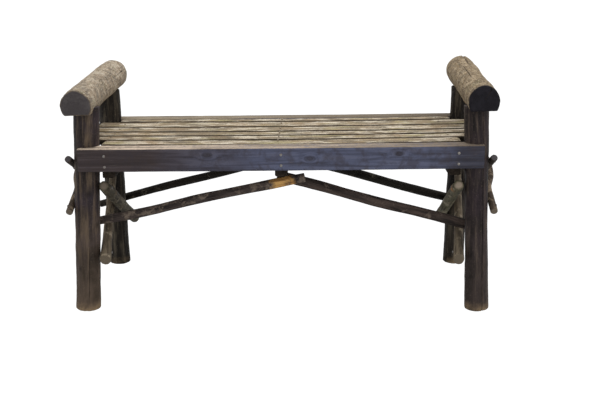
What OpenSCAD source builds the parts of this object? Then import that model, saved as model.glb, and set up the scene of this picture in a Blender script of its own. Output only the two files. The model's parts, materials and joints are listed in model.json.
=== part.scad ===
// Rustic log-and-stick garden bench without a back.
// Four log posts carry two thick arm logs that lie front to back.
// Two deep apron boards are let into the posts, front and rear.
// Three cross bearers between the aprons carry six seat slats.
// Long sloping braces and crossing end sticks stiffen the frame.
// +X runs along the seat, the front faces -Y, +Z is up, the ground is z = 0.

/* [Overall] */
// distance between the centres of the front posts at the ground
post_span = 1043; // [865:1:1255]
// distance between the centres of the front and rear posts
post_depth = 377; // [310:1:455]
// height of the seat's top face at mid-length
seat_h = 450; // [400:1:520]
// height of the post tops at mid-length, under the arm logs
post_top_h = 537; // [500:1:620]
// how much higher the right-hand end stands than the left-hand end
end_rise = 7; // [0:0.5:15]

/* [Posts] */
// diameter of each post
post_d = 64; // [52:1:76]
// lean of the front posts towards each other
front_lean = 2.9; // [0:0.1:4]
// how far each rear post stands inside its front post
rear_inset = 6.5; // [0:0.5:20]
// diameter of the round tenon on top of each post
tenon_d = 26; // [20:1:32]
// length of the round tenon
tenon_len = 32; // [16:1:36]

/* [Arm logs] */
// diameter of each arm log at its front end
arm_front_d = 79; // [70:1:96]
// diameter of each arm log at its rear end
arm_rear_d = 83; // [72:1:100]
// how far each arm log runs past the posts' centres, front and rear
arm_past = 57.5; // [40:0.5:90]
// depth dressed off the underside of each arm log at its front end
arm_front_flat = 14; // [6:0.5:20]
// depth dressed off the underside of each arm log at its rear end
arm_rear_flat = 3; // [1:0.5:12]
// toe-in of the arm logs towards the front
arm_toe = 1.3; // [0:0.1:2.5]
// rise of the arm logs' flat undersides towards the rear
arm_rise = 0.15; // [0:0.05:1.5]
// how far the arm logs' front ends sit outside the tops of the front posts
arm_out = 12; // [0:0.5:14]

/* [Aprons] */
// how far each end of an apron board stops short of the front posts' centres
apron_short = 6; // [0:0.5:16]
// height of the apron boards
apron_h = 61; // [48:1:76]
// thickness of the apron boards
apron_t = 46; // [36:1:56]
// how far the apron boards stand out from the posts
apron_proud = 13; // [4:0.5:20]

/* [Bearers] */
// width of each cross bearer
bearer_w = 34; // [26:1:40]
// height of each cross bearer
bearer_h = 74; // [60:1:88]
// gap between each end bearer and the front posts
bearer_gap = 2.3; // [1:0.1:30]

/* [Slats] */
// thickness of the seat slats
slat_t = 15; // [12:0.5:20]
// gap between neighbouring slats
slat_gap = 7; // [3:0.5:10]
// width of the foremost slat
slat_1_w = 55; // [44:1:60]
// width of the second slat
slat_2_w = 49; // [40:1:54]
// width of the third slat
slat_3_w = 49; // [40:1:54]
// width of the fourth slat
slat_4_w = 62; // [50:1:68]
// width of the fifth slat
slat_5_w = 70; // [56:1:76]
// width of the sixth and rearmost slat
slat_6_w = 41; // [32:1:56]
// gap between the ends of the two short slats and the posts
slat_end_gap = 1.5; // [1:0.1:12]
// how far each end of a long slat runs past the front posts' centres
long_slat_past = 10; // [0:0.5:20]

/* [Long braces] */
// diameter of the two left-hand long braces
brace_left_d = 26; // [20:1:32]
// diameter of the two right-hand long braces
brace_right_d = 28; // [20:1:32]

/* [End sticks] */
// diameter of the thick inner stick that falls to the rear
inner_fall_d = 32; // [24:1:36]
// diameter of the low end of the inner stick that climbs to the rear
inner_climb_low_d = 30; // [22:1:32]
// diameter of the high end of the inner stick that climbs to the rear
inner_climb_high_d = 20; // [14:1:24]
// diameter of the outer stick that falls to the rear
outer_fall_d = 19; // [14:1:24]
// diameter of the outer stick that climbs to the rear
outer_climb_d = 19; // [14:1:24]
// how far the end sticks run past the posts' centres
stick_past = 27; // [12:1:40]

/* [Nails] */
// diameter of a nail shank
nail_d = 3.2; // [2:0.1:4]
// diameter of a nail head
nail_head_d = 7; // [5:0.5:9]
// thickness of a nail head
nail_head_t = 1.2; // [0.8:0.1:2]

/* [Fits] */
// gap left all round between a tenon and its socket
tenon_gap = 0.3; // [0.1:0.1:1]
// gap left all round between an apron and its housing in a post
housing_gap = 0.3; // [0.1:0.1:1]
// gap left where two round pieces lie against each other
touch_gap = 0.2; // [0.1:0.1:1]

/* [Show] */
// the piece to show, or all of them

/* [Hidden] */
$fn = 48;
eps = 0.01;
big = 3000;
// how far a blank runs past the faces that trim it
over = 60;
// rows of apron nails below the seat's top, and lengths of the nails
apron_nail_rows = [-20, -48];
apron_nail_len = 86;
slat_nail_len = 50;
// nails sit a little beside the bearers' centre lines, clear of each other
apron_nail_dx = 2;
slat_nail_dx = -8;
slat_1_nail_dy = 6;
// how deep a nail bites into the timber behind a brace or a stick
brace_bite = 34;
stick_bite = 30;
short_bite = 26;
// how far the foremost outer nail is set back, as a share of its stick
set_back = 0.04;
// depth of a round tenon's root inside its post
tenon_root = 10;
post_r = post_d / 2;
arm_front_r = arm_front_d / 2;
arm_rear_r = arm_rear_d / 2;
half_span = post_span / 2;
half_depth = post_depth / 2;
seat_tilt = atan(end_rise / post_span);
arm_len = post_depth + 2 * arm_past;
// heights of an arm log's centre line above its flat underside, and its slope
arm_front_high = arm_front_r - arm_front_flat;
arm_rear_high = arm_rear_r - arm_rear_flat;
arm_pitch = atan((arm_rear_high - arm_front_high) / arm_len);
apron_len = post_span - 2 * apron_short;
// the aprons' outer and inner faces
apron_out_y = half_depth + post_r + apron_proud;
apron_in_y = apron_out_y - apron_t;
bearer_top = -slat_t;
// the slats fill the space between the aprons, each takes the same part of what is over
slat_widths = [slat_1_w, slat_2_w, slat_3_w, slat_4_w, slat_5_w, slat_6_w];
slat_room = 2 * apron_in_y - (len(slat_widths) + 1) * slat_gap;
slat_spare = (slat_room - total(slat_widths, 5)) / len(slat_widths);
long_slat_len = post_span + 2 * long_slat_past;

// x of a post's centre line at height z, row is -1 in front and 1 behind
function post_x(row, z) = row < 0 ? half_span - z * tan(front_lean) : half_span - rear_inset;
// the sum of a list's items up to place i
function total(list, i) = i < 0 ? 0 : list[i] + total(list, i - 1);
// slat i's fitted width and the y of its front edge, the foremost slat is 0
function slat_width(i) = slat_widths[i] + slat_spare;
function slat_y(i) = -apron_in_y + slat_gap + total(slat_widths, i - 1) + i * (slat_spare + slat_gap);
// length of a slat that fits between the posts of a row
function short_slat_len(row) = 2 * (post_x(row, seat_h) - post_r - slat_end_gap);
bearer_x = post_x(-1, seat_h - slat_t) - post_r - bearer_gap - bearer_w / 2;
bearer_low = seat_h - slat_t - bearer_h;
// stick ends, on the right-hand side, mirrored for the left
stick_front_y = -half_depth - stick_past;
inner_fall_r = inner_fall_d / 2;
inner_climb_r = inner_climb_low_d / 2;
knot_swell = 0.6;
outer_fall_r = outer_fall_d / 2;
outer_climb_r = outer_climb_d / 2;
// heights of the sticks where they cross the posts' centre planes
fall_in_front_z = bearer_low - 28;
fall_in_rear_z = seat_h - 304;
climb_in_front_z = seat_h - 294;
climb_in_rear_z = seat_h - 140;
fall_out_front_z = seat_h - 45;
fall_out_rear_z = seat_h - 213;
climb_out_front_z = seat_h - 166;
climb_out_rear_z = seat_h - 38;
fall_in_front_x = post_x(-1, fall_in_front_z) - post_r - inner_fall_r - touch_gap;
fall_in_rear_x = post_x(1, 0) - post_r - inner_fall_r - touch_gap;
climb_in_front_x = post_x(-1, climb_in_front_z) - post_r - inner_climb_r - touch_gap;
fall_out_front_x = post_x(-1, fall_out_front_z) + post_r + outer_fall_r + 1;
fall_out_rear_x = post_x(1, 0) + post_r + outer_fall_r + touch_gap;
climb_out_front_x = post_x(-1, climb_out_front_z) + post_r + outer_climb_r + 1;
climb_out_rear_x = post_x(1, 0) + post_r + outer_climb_r + touch_gap;
// where the inner sticks cross, seen from the end
in_cross_t = (fall_in_front_z - climb_in_front_z)
    / ((fall_in_front_z - climb_in_front_z) + (climb_in_rear_z - fall_in_rear_z));
in_cross_x = fall_in_front_x + in_cross_t * (fall_in_rear_x - fall_in_front_x)
    + inner_fall_r + (inner_climb_r + inner_climb_high_d / 2) / 2 + 1.5;
climb_in_rear_x = climb_in_front_x + (in_cross_x - climb_in_front_x) / in_cross_t;
// where the outer sticks cross, the climbing one bows out over the falling one
out_cross_t = (fall_out_front_z - climb_out_front_z)
    / ((fall_out_front_z - climb_out_front_z) + (climb_out_rear_z - fall_out_rear_z));
out_cross_x = fall_out_front_x + out_cross_t * (fall_out_rear_x - fall_out_front_x)
    + outer_fall_r + outer_climb_r + knot_swell + touch_gap;
out_cross_y = -half_depth + out_cross_t * post_depth;
out_cross_z = climb_out_front_z + out_cross_t * (climb_out_rear_z - climb_out_front_z);

// the long braces, as (x, y, z) at the post and under the middle bearer
brace_l_r = brace_left_d / 2;
brace_r_r = brace_right_d / 2;
brace_y = half_depth + post_r + touch_gap;
// how far the low ends stop inside, or run past, the front posts' centres
brace_in_left = 14.5;
brace_in_right = 12.5;
brace_past = 57.5;
// the front braces lie against the backs of the front posts, clear of each other
brace_front_y = -half_depth + post_r + touch_gap;
brace_apart = 3;
front_left_low = [-half_span + brace_in_left, brace_front_y + brace_l_r, seat_h - 222];
front_left_high = [61, brace_front_y + brace_l_r, bearer_low + 1];
front_right_low = [half_span - brace_in_right, brace_front_y + brace_r_r, seat_h - 237];
front_right_high = [-12, front_left_high[1] + brace_l_r + brace_r_r + brace_apart, bearer_low - 1];
// the rear braces lie against the backs of the rear posts, under the bearer's rear end
brace_in_from_apron = 14;
rear_apart = 10;
rear_right_high = [-40, apron_in_y - brace_in_from_apron, bearer_low - 3];
rear_left_high = [10, rear_right_high[1] - brace_l_r - brace_r_r - rear_apart, bearer_low + 5];
rear_left_touch = [-post_x(1, 0), brace_y + brace_l_r + 0.97, seat_h - 260.9];
rear_right_touch = [post_x(1, 0), brace_y + brace_r_r + 0.68, seat_h - 263.7];
rear_left_low = between(rear_left_high, rear_left_touch,
                        share(rear_left_high, rear_left_touch, -half_span - brace_past));
rear_right_low = between(rear_right_high, rear_right_touch,
                         share(rear_right_high, rear_right_touch, half_span + brace_past));

// how far the rear braces and the arm logs reach back and forward
function reach_back(a, b, r) = a[1] + r * sqrt(1 - pow((a[1] - b[1]) / norm(a - b), 2));
back_reach = max(reach_back(rear_left_low, rear_left_high, brace_l_r),
                 reach_back(rear_right_low, rear_right_high, brace_r_r));
front_reach = cos(arm_toe) * (arm_len / 2 * cos(arm_rise) + arm_front_high * sin(arm_rise))
    + arm_front_r * sqrt(1 - pow(cos(arm_toe) * cos(arm_rise + arm_pitch), 2));
// the whole bench is moved so that the origin is the middle of its outline on the ground
mid_y = (back_reach - front_reach) / 2;

// a point at share t of the way from a to b
function between(a, b, t) = a + (b - a) * t;
// the share of the way from a to b at which x is reached
function share(a, b, x) = (x - a[0]) / (b[0] - a[0]);

// ---- building blocks ----

// a straight round rod from a to b, ra and rb are the radii at its two ends
module rod(a, b, ra, rb) {
    v = b - a;
    len = norm(v);
    translate(a)
        rotate([0, acos(v[2] / len), atan2(v[1], v[0])])
            cylinder(h = len, r1 = ra, r2 = rb);
}

// a nail whose head rests at the origin, its shank runs down -Z
module nail(len) {
    cylinder(h = nail_head_t, d = nail_head_d, $fn = 20);
    translate([0, 0, -len])
        cylinder(h = len + eps, d = nail_d, $fn = 16);
}

// the seat's own frame, its origin is on the seat's top at mid-length
module seat_frame() {
    translate([0, 0, seat_h])
        rotate([0, -seat_tilt, 0])
            children();
}

// an arm log's own frame, its origin is the middle of the flat underside
module arm_frame(side) {
    translate([side * (post_x(-1, post_top_h) + arm_out + arm_len / 2 * sin(arm_toe)), 0,
               post_top_h + side * end_rise / 2])
        rotate([arm_rise, 0, side * -arm_toe])
            children();
}

// everything above an arm log's flat underside
module above_arm(side) {
    arm_frame(side)
        translate([-big / 20, -big / 4, 0])
            cube([big / 10, big / 2, big / 4]);
}

// ---- nails ----

module apron_nail_set(row) {
    seat_frame()
        for (x = [-bearer_x, 0, bearer_x])
            for (z = apron_nail_rows)
                translate([x + apron_nail_dx, row * apron_out_y, z])
                    rotate([row < 0 ? 90 : -90, 0, 0])
                        nail(apron_nail_len);
}

module slat_nail_row(y) {
    seat_frame()
        for (x = [-bearer_x, 0, bearer_x])
            translate([x + slat_nail_dx, y, 0])
                nail(slat_nail_len);
}

module slat_nail_set() {
    for (i = [0:5])
        slat_nail_row(slat_y(i) + slat_width(i) / 2 + (i == 0 ? slat_1_nail_dy : 0));
}

// a nail driven forwards through a brace into a post, at the brace's x
module brace_post_nail(a, b, r, x) {
    p = between(a, b, share(a, b, x));
    translate([p[0], p[1] + r, p[2]])
        rotate([-90, 0, 0])
            nail(2 * r + brace_bite);
}

// a nail driven up through a brace into the middle bearer
module brace_bearer_nail(a, b, r, x) {
    p = between(a, b, share(a, b, x));
    translate([p[0], p[1], p[2] - r])
        rotate([180, 0, 0])
            nail(2 * r + brace_bite);
}

module brace_nail_set() {
    brace_post_nail(front_left_low, front_left_high, brace_l_r + 0.4, -post_x(-1, 230));
    brace_post_nail(front_right_low, front_right_high, brace_r_r + 0.4, post_x(-1, 220));
    brace_post_nail(rear_left_low, rear_left_high, brace_l_r + 0.6, -post_x(1, 0));
    brace_post_nail(rear_right_low, rear_right_high, brace_r_r + 0.4, post_x(1, 0));
    brace_bearer_nail(front_left_low, front_left_high, brace_l_r + 0.6, 4);
    brace_bearer_nail(front_right_low, front_right_high, brace_r_r + 0.8, 0);
    brace_bearer_nail(rear_left_low, rear_left_high, brace_l_r + 0.9, -4);
    brace_bearer_nail(rear_right_low, rear_right_high, brace_r_r + 0.8, 4);
}

// nails that run along X, on the right-hand side, dir is 1 for outwards
module side_nail(p, r, dir, len) {
    translate([p[0] - dir * r, p[1], p[2]])
        rotate([0, -90 * dir, 0])
            nail(len);
}

module end_nail_set() {
    side_nail([fall_in_front_x, -half_depth, fall_in_front_z], inner_fall_r, 1, inner_fall_d + stick_bite);
    side_nail([fall_in_rear_x, half_depth, fall_in_rear_z], inner_fall_r, 1, inner_fall_d + stick_bite);
    side_nail([climb_in_front_x, -half_depth, climb_in_front_z], inner_climb_r, 1,
              inner_climb_low_d + stick_bite);
    // this one is set back, clear of the apron that is housed in the post
    side_nail(between([fall_out_front_x, -half_depth, fall_out_front_z],
                      [fall_out_rear_x, half_depth, fall_out_rear_z], set_back),
              outer_fall_r, -1, outer_fall_d + short_bite);
    side_nail([fall_out_rear_x, half_depth, fall_out_rear_z], outer_fall_r, -1,
              outer_fall_d + stick_bite);
    side_nail([climb_out_front_x, -half_depth, climb_out_front_z], outer_climb_r + 0.3, -1,
              outer_climb_d + stick_bite);
    side_nail([climb_out_rear_x, half_depth, climb_out_rear_z], outer_climb_r + 0.3, -1,
              outer_climb_d + stick_bite);
    climb_in_rear_nail();
}

// the one nail that runs back through a stick into the front of a rear post
module climb_in_rear_nail() {
    p = climb_in_point(half_depth - post_r - 14);
    translate([p[0], p[1] - inner_climb_high_d / 2 - 2.4, p[2]])
        rotate([90, 0, 0])
            nail(inner_climb_high_d + 38);
}

module stick_nail_set(side) {
    if (side > 0) end_nail_set();
    else mirror([1, 0, 0]) end_nail_set();
}

// ---- timber ----

module post_blank(side, row) {
    lean = row < 0 ? front_lean : 0;
    x0 = row < 0 ? half_span : half_span - rear_inset;
    difference() {
        translate([side * x0, row * half_depth, 0])
            rotate([0, -side * lean, 0])
                translate([0, 0, -over])
                    cylinder(h = post_top_h + 2 * over, d = post_d);
        translate([-big / 2, -big / 2, -2 * over])
            cube([big, big, 2 * over]);
        above_arm(side);
    }
}

// the tenon stands on the post's top and follows the arm log's own frame
module post_tenon(side, row, gap) {
    z = post_top_h + side * end_rise / 2;
    lean = row < 0 ? front_lean : 0;
    translate([side * post_x(row, z), row * half_depth, z - tenon_root])
        rotate([0, -side * lean, 0])
            cylinder(h = tenon_len + tenon_root + gap, d = tenon_d + 2 * gap);
}

module apron_blank(row, gap) {
    seat_frame()
        translate([-apron_len / 2 - gap, row < 0 ? -apron_out_y - gap : apron_in_y - gap,
                   -apron_h - gap])
            cube([apron_len + 2 * gap, apron_t + 2 * gap, apron_h + 2 * gap]);
}

module post(side, row) {
    color([0.17, 0.14, 0.13])
        difference() {
            union() {
                post_blank(side, row);
                post_tenon(side, row, 0);
            }
            apron_blank(row, housing_gap);
            stick_nail_set(side);
            brace_nail_set();
        }
}

module arm_log(side) {
    color([0.55, 0.50, 0.42])
        difference() {
            arm_frame(side)
                intersection() {
                    rod([0, -arm_len / 2, arm_front_high], [0, arm_len / 2, arm_rear_high],
                        arm_front_r, arm_rear_r, $fn = 64);
                    translate([-arm_rear_d, -arm_len, 0])
                        cube([2 * arm_rear_d, 2 * arm_len, 2 * arm_rear_d]);
                }
            post_tenon(side, -1, tenon_gap);
            post_tenon(side, 1, tenon_gap);
        }
}

module apron(row) {
    color([0.26, 0.23, 0.24])
        difference() {
            apron_blank(row, 0);
            apron_nail_set(row);
        }
}

module bearer(x) {
    color([0.20, 0.17, 0.15])
        difference() {
            seat_frame()
                translate([x - bearer_w / 2, -apron_in_y, bearer_top - bearer_h])
                    cube([bearer_w, 2 * apron_in_y, bearer_h]);
            apron_nail_set(-1);
            apron_nail_set(1);
            slat_nail_set();
            brace_nail_set();
        }
}

module slat(i, length) {
    color([0.47, 0.44, 0.38])
        difference() {
            seat_frame()
                translate([-length / 2, slat_y(i), -slat_t])
                    cube([length, slat_width(i), slat_t]);
            slat_nail_set();
        }
}

// a long brace, dressed flat where it passes under the middle bearer
module long_brace(a, b, r) {
    color([0.33, 0.24, 0.17])
        difference() {
            rod(a, b, r, r);
            seat_frame()
                translate([-bearer_w / 2 - over, -apron_in_y, bearer_top - bearer_h])
                    cube([bearer_w + 2 * over, 2 * apron_in_y, bearer_h]);
            brace_nail_set();
        }
}

// the y-wise run of a stick beyond its two crossing points
function stick_front(a, b) = between(a, b, -stick_past / post_depth);
function stick_rear(a, b) = between(a, b, 1 + stick_past / post_depth);

// a point on the inner climbing stick at a given y
function climb_in_point(y) = between([climb_in_front_x, -half_depth, climb_in_front_z],
                                     [climb_in_rear_x, half_depth, climb_in_rear_z],
                                     (y + half_depth) / post_depth);

module inner_fall() {
    a = [fall_in_front_x, -half_depth, fall_in_front_z];
    b = [fall_in_rear_x, half_depth, fall_in_rear_z];
    color([0.36, 0.34, 0.29])
        difference() {
            rod(stick_front(a, b), stick_rear(a, b), inner_fall_r, inner_fall_r);
            stick_nail_set(1);
        }
}

module inner_climb() {
    a = climb_in_point(stick_front_y);
    b = climb_in_point(half_depth);
    color([0.38, 0.31, 0.23])
        difference() {
            rod(a, b, inner_climb_r, inner_climb_high_d / 2);
            translate([post_x(1, 0) - big / 20, half_depth - post_r - touch_gap, 0])
                cube([big / 10, big / 10, seat_h]);
            stick_nail_set(1);
        }
}

module outer_fall() {
    a = [fall_out_front_x, -half_depth, fall_out_front_z];
    b = [fall_out_rear_x, half_depth, fall_out_rear_z];
    color([0.34, 0.27, 0.21])
        difference() {
            rod(stick_front(a, b), stick_rear(a, b), outer_fall_r, outer_fall_r);
            stick_nail_set(1);
        }
}

module outer_climb() {
    a = [climb_out_front_x, -half_depth, climb_out_front_z];
    m = [out_cross_x, out_cross_y, out_cross_z];
    b = [climb_out_rear_x, half_depth, climb_out_rear_z];
    color([0.40, 0.33, 0.25])
        difference() {
            union() {
                rod(between(a, m, -stick_past / (out_cross_y + half_depth)), m,
                    outer_climb_r, outer_climb_r);
                rod(m, between(m, b, 1 + stick_past / (half_depth - out_cross_y)),
                    outer_climb_r, outer_climb_r);
                // a small knot swells the stick where it bends
                translate(m)
                    sphere(r = outer_climb_r + knot_swell);
            }
            stick_nail_set(1);
        }
}

// ---- one module per sub-part ----

module placed()
    translate([0, -mid_y, 0])
        children();

module post_front_left() placed() post(-1, -1);
module post_front_right() placed() post(1, -1);
module post_rear_left() placed() post(-1, 1);
module post_rear_right() placed() post(1, 1);
module arm_log_left() placed() arm_log(-1);
module arm_log_right() placed() arm_log(1);
module apron_front() placed() apron(-1);
module apron_rear() placed() apron(1);
module bearer_left() placed() bearer(-bearer_x);
module bearer_centre() placed() bearer(0);
module bearer_right() placed() bearer(bearer_x);
module slat_1() placed() slat(0, short_slat_len(-1));
module slat_2() placed() slat(1, long_slat_len);
module slat_3() placed() slat(2, long_slat_len);
module slat_4() placed() slat(3, long_slat_len);
module slat_5() placed() slat(4, long_slat_len);
module slat_6() placed() slat(5, short_slat_len(1));
module brace_front_left() placed() long_brace(front_left_low, front_left_high, brace_l_r);
module brace_front_right() placed() long_brace(front_right_low, front_right_high, brace_r_r);
module brace_rear_left() placed() long_brace(rear_left_low, rear_left_high, brace_l_r);
module brace_rear_right() placed() long_brace(rear_right_low, rear_right_high, brace_r_r);
module inner_fall_left() placed() mirror([1, 0, 0]) inner_fall();
module inner_fall_right() placed() inner_fall();
module inner_climb_left() placed() mirror([1, 0, 0]) inner_climb();
module inner_climb_right() placed() inner_climb();
module outer_fall_left() placed() mirror([1, 0, 0]) outer_fall();
module outer_fall_right() placed() outer_fall();
module outer_climb_left() placed() mirror([1, 0, 0]) outer_climb();
module outer_climb_right() placed() outer_climb();
module apron_nails() placed() color([0.45, 0.44, 0.42]) union() { apron_nail_set(-1); apron_nail_set(1); }
module slat_nails() placed() color([0.45, 0.44, 0.42]) slat_nail_set();
module brace_nails() placed() color([0.45, 0.44, 0.42]) brace_nail_set();
module stick_nails() placed() color([0.45, 0.44, 0.42]) union() { stick_nail_set(-1); stick_nail_set(1); }

post_front_left();
post_front_right();
post_rear_left();
post_rear_right();
arm_log_left();
arm_log_right();
apron_front();
apron_rear();
bearer_left();
bearer_centre();
bearer_right();
slat_1();
slat_2();
slat_3();
slat_4();
slat_5();
slat_6();
brace_front_left();
brace_front_right();
brace_rear_left();
brace_rear_right();
inner_fall_left();
inner_fall_right();
inner_climb_left();
inner_climb_right();
outer_fall_left();
outer_fall_right();
outer_climb_left();
outer_climb_right();
apron_nails();
slat_nails();
brace_nails();
stick_nails();
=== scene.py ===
"""Looks of a rustic log-and-stick garden bench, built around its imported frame."""

from __future__ import annotations

import json
import logging
import math
from dataclasses import dataclass, field
from enum import Enum

import bpy
import numpy as np
from mathutils import Euler, Matrix, Vector

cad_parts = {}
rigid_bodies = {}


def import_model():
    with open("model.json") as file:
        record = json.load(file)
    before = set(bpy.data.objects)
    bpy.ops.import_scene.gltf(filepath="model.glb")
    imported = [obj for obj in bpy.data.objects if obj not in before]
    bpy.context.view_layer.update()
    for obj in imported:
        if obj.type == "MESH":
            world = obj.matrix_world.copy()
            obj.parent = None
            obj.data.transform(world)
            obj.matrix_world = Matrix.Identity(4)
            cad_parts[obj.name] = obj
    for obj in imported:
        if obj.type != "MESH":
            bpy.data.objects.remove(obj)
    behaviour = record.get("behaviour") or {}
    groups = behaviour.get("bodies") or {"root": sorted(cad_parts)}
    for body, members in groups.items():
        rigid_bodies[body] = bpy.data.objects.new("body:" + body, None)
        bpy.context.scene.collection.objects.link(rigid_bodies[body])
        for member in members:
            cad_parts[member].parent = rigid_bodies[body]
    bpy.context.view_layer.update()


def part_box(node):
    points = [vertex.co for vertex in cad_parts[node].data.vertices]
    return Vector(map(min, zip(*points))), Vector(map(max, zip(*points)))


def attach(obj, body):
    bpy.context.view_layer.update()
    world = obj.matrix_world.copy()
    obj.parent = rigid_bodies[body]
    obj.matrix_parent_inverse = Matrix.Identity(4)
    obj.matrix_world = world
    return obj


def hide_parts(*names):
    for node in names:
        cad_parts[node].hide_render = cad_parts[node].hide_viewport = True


LOG = logging.getLogger("garden_bench")
BODY = "root"
TAU = 2.0 * math.pi


# ---------------------------------------------------------------- noise and small maths


def value_noise(points: np.ndarray, seed: int) -> np.ndarray:
    """Smooth lattice noise, the same on every run.

    Args:
        points: positions in cells, as rows of x, y and z.
        seed: picks the lattice.

    Returns:
        One value from -1 to 1 for each row.
    """
    cell = np.floor(points).astype(np.int64)
    part = points - cell
    part = part * part * (3.0 - 2.0 * part)
    total = np.zeros(len(points))
    for corner in range(8):
        step = np.array([corner & 1, corner >> 1 & 1, corner >> 2 & 1])
        at = cell + step
        mixed = at[:, 0] * 374761393 + at[:, 1] * 668265263 + at[:, 2] * 1440662683 + seed * 974634777
        mixed = (mixed ^ (mixed >> 13)) & 0xFFFFFFFF
        mixed = mixed * 1274126177 & 0xFFFFFFFF
        mixed = mixed ^ (mixed >> 16)
        weight = np.prod(np.where(step == 1, part, 1.0 - part), axis=1)
        total += weight * ((mixed & 0xFFFF) / 32767.5 - 1.0)
    return total


def rough_noise(points: np.ndarray, seed: int, octaves: int = 4) -> np.ndarray:
    """Layers of lattice noise, each twice as fine and half as strong.

    Args:
        points: positions in cells of the coarsest layer.
        seed: picks the lattices.
        octaves: how many layers.

    Returns:
        One value, about -1 to 1, for each row.
    """
    total = np.zeros(len(points))
    strength = 0.5
    for layer in range(octaves):
        total += strength * value_noise(points * 2.0**layer, seed + 31 * layer)
        strength *= 0.5
    return total * 1.3


def smooth_step(low: float, high: float, value: np.ndarray) -> np.ndarray:
    """An eased ramp from 0 at low to 1 at high."""
    share = np.clip((value - low) / (high - low), 0.0, 1.0)
    return share * share * (3.0 - 2.0 * share)


def soft_line(points: np.ndarray, count: int) -> np.ndarray:
    """A smooth curve through a few points.

    Args:
        points: the points, as rows.
        count: how many rows to return.

    Returns:
        Points at even steps along the curve.
    """
    if len(points) == 2:
        share = np.linspace(0.0, 1.0, count)[:, None]
        return points[0] * (1.0 - share) + points[1] * share
    padded = np.vstack([2 * points[0] - points[1], points, 2 * points[-1] - points[-2]])
    fine = []
    for i in range(len(points) - 1):
        p0, p1, p2, p3 = padded[i : i + 4]
        for t in np.linspace(0.0, 1.0, 40, endpoint=False):
            fine.append(
                0.5
                * (2 * p1 + (p2 - p0) * t + (2 * p0 - 5 * p1 + 4 * p2 - p3) * t**2
                   + (3 * p1 - p0 - 3 * p2 + p3) * t**3)
            )
    fine.append(points[-1])
    fine = np.array(fine)
    run = np.concatenate([[0.0], np.cumsum(np.linalg.norm(np.diff(fine, axis=0), axis=1))])
    even = np.linspace(0.0, run[-1], count)
    return np.column_stack([np.interp(even, run, fine[:, axis]) for axis in range(3)])


# ---------------------------------------------------------------- round timber


@dataclass(frozen=True)
class DryingCheck:
    """A crack that opened along the grain as the timber dried."""

    angle: float
    start: float
    stop: float
    width: float = 0.0028
    depth: float = 0.010


@dataclass(frozen=True)
class Knot:
    """The stub of a cut branch: a low swelling with its own colour."""

    along: float
    angle: float
    size: float = 0.009
    height: float = 0.003


@dataclass(frozen=True)
class DressedFlat:
    """A flat side, cut square to one direction at a distance from the centre line."""

    angle: float
    distance: float
    far_distance: float


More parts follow.
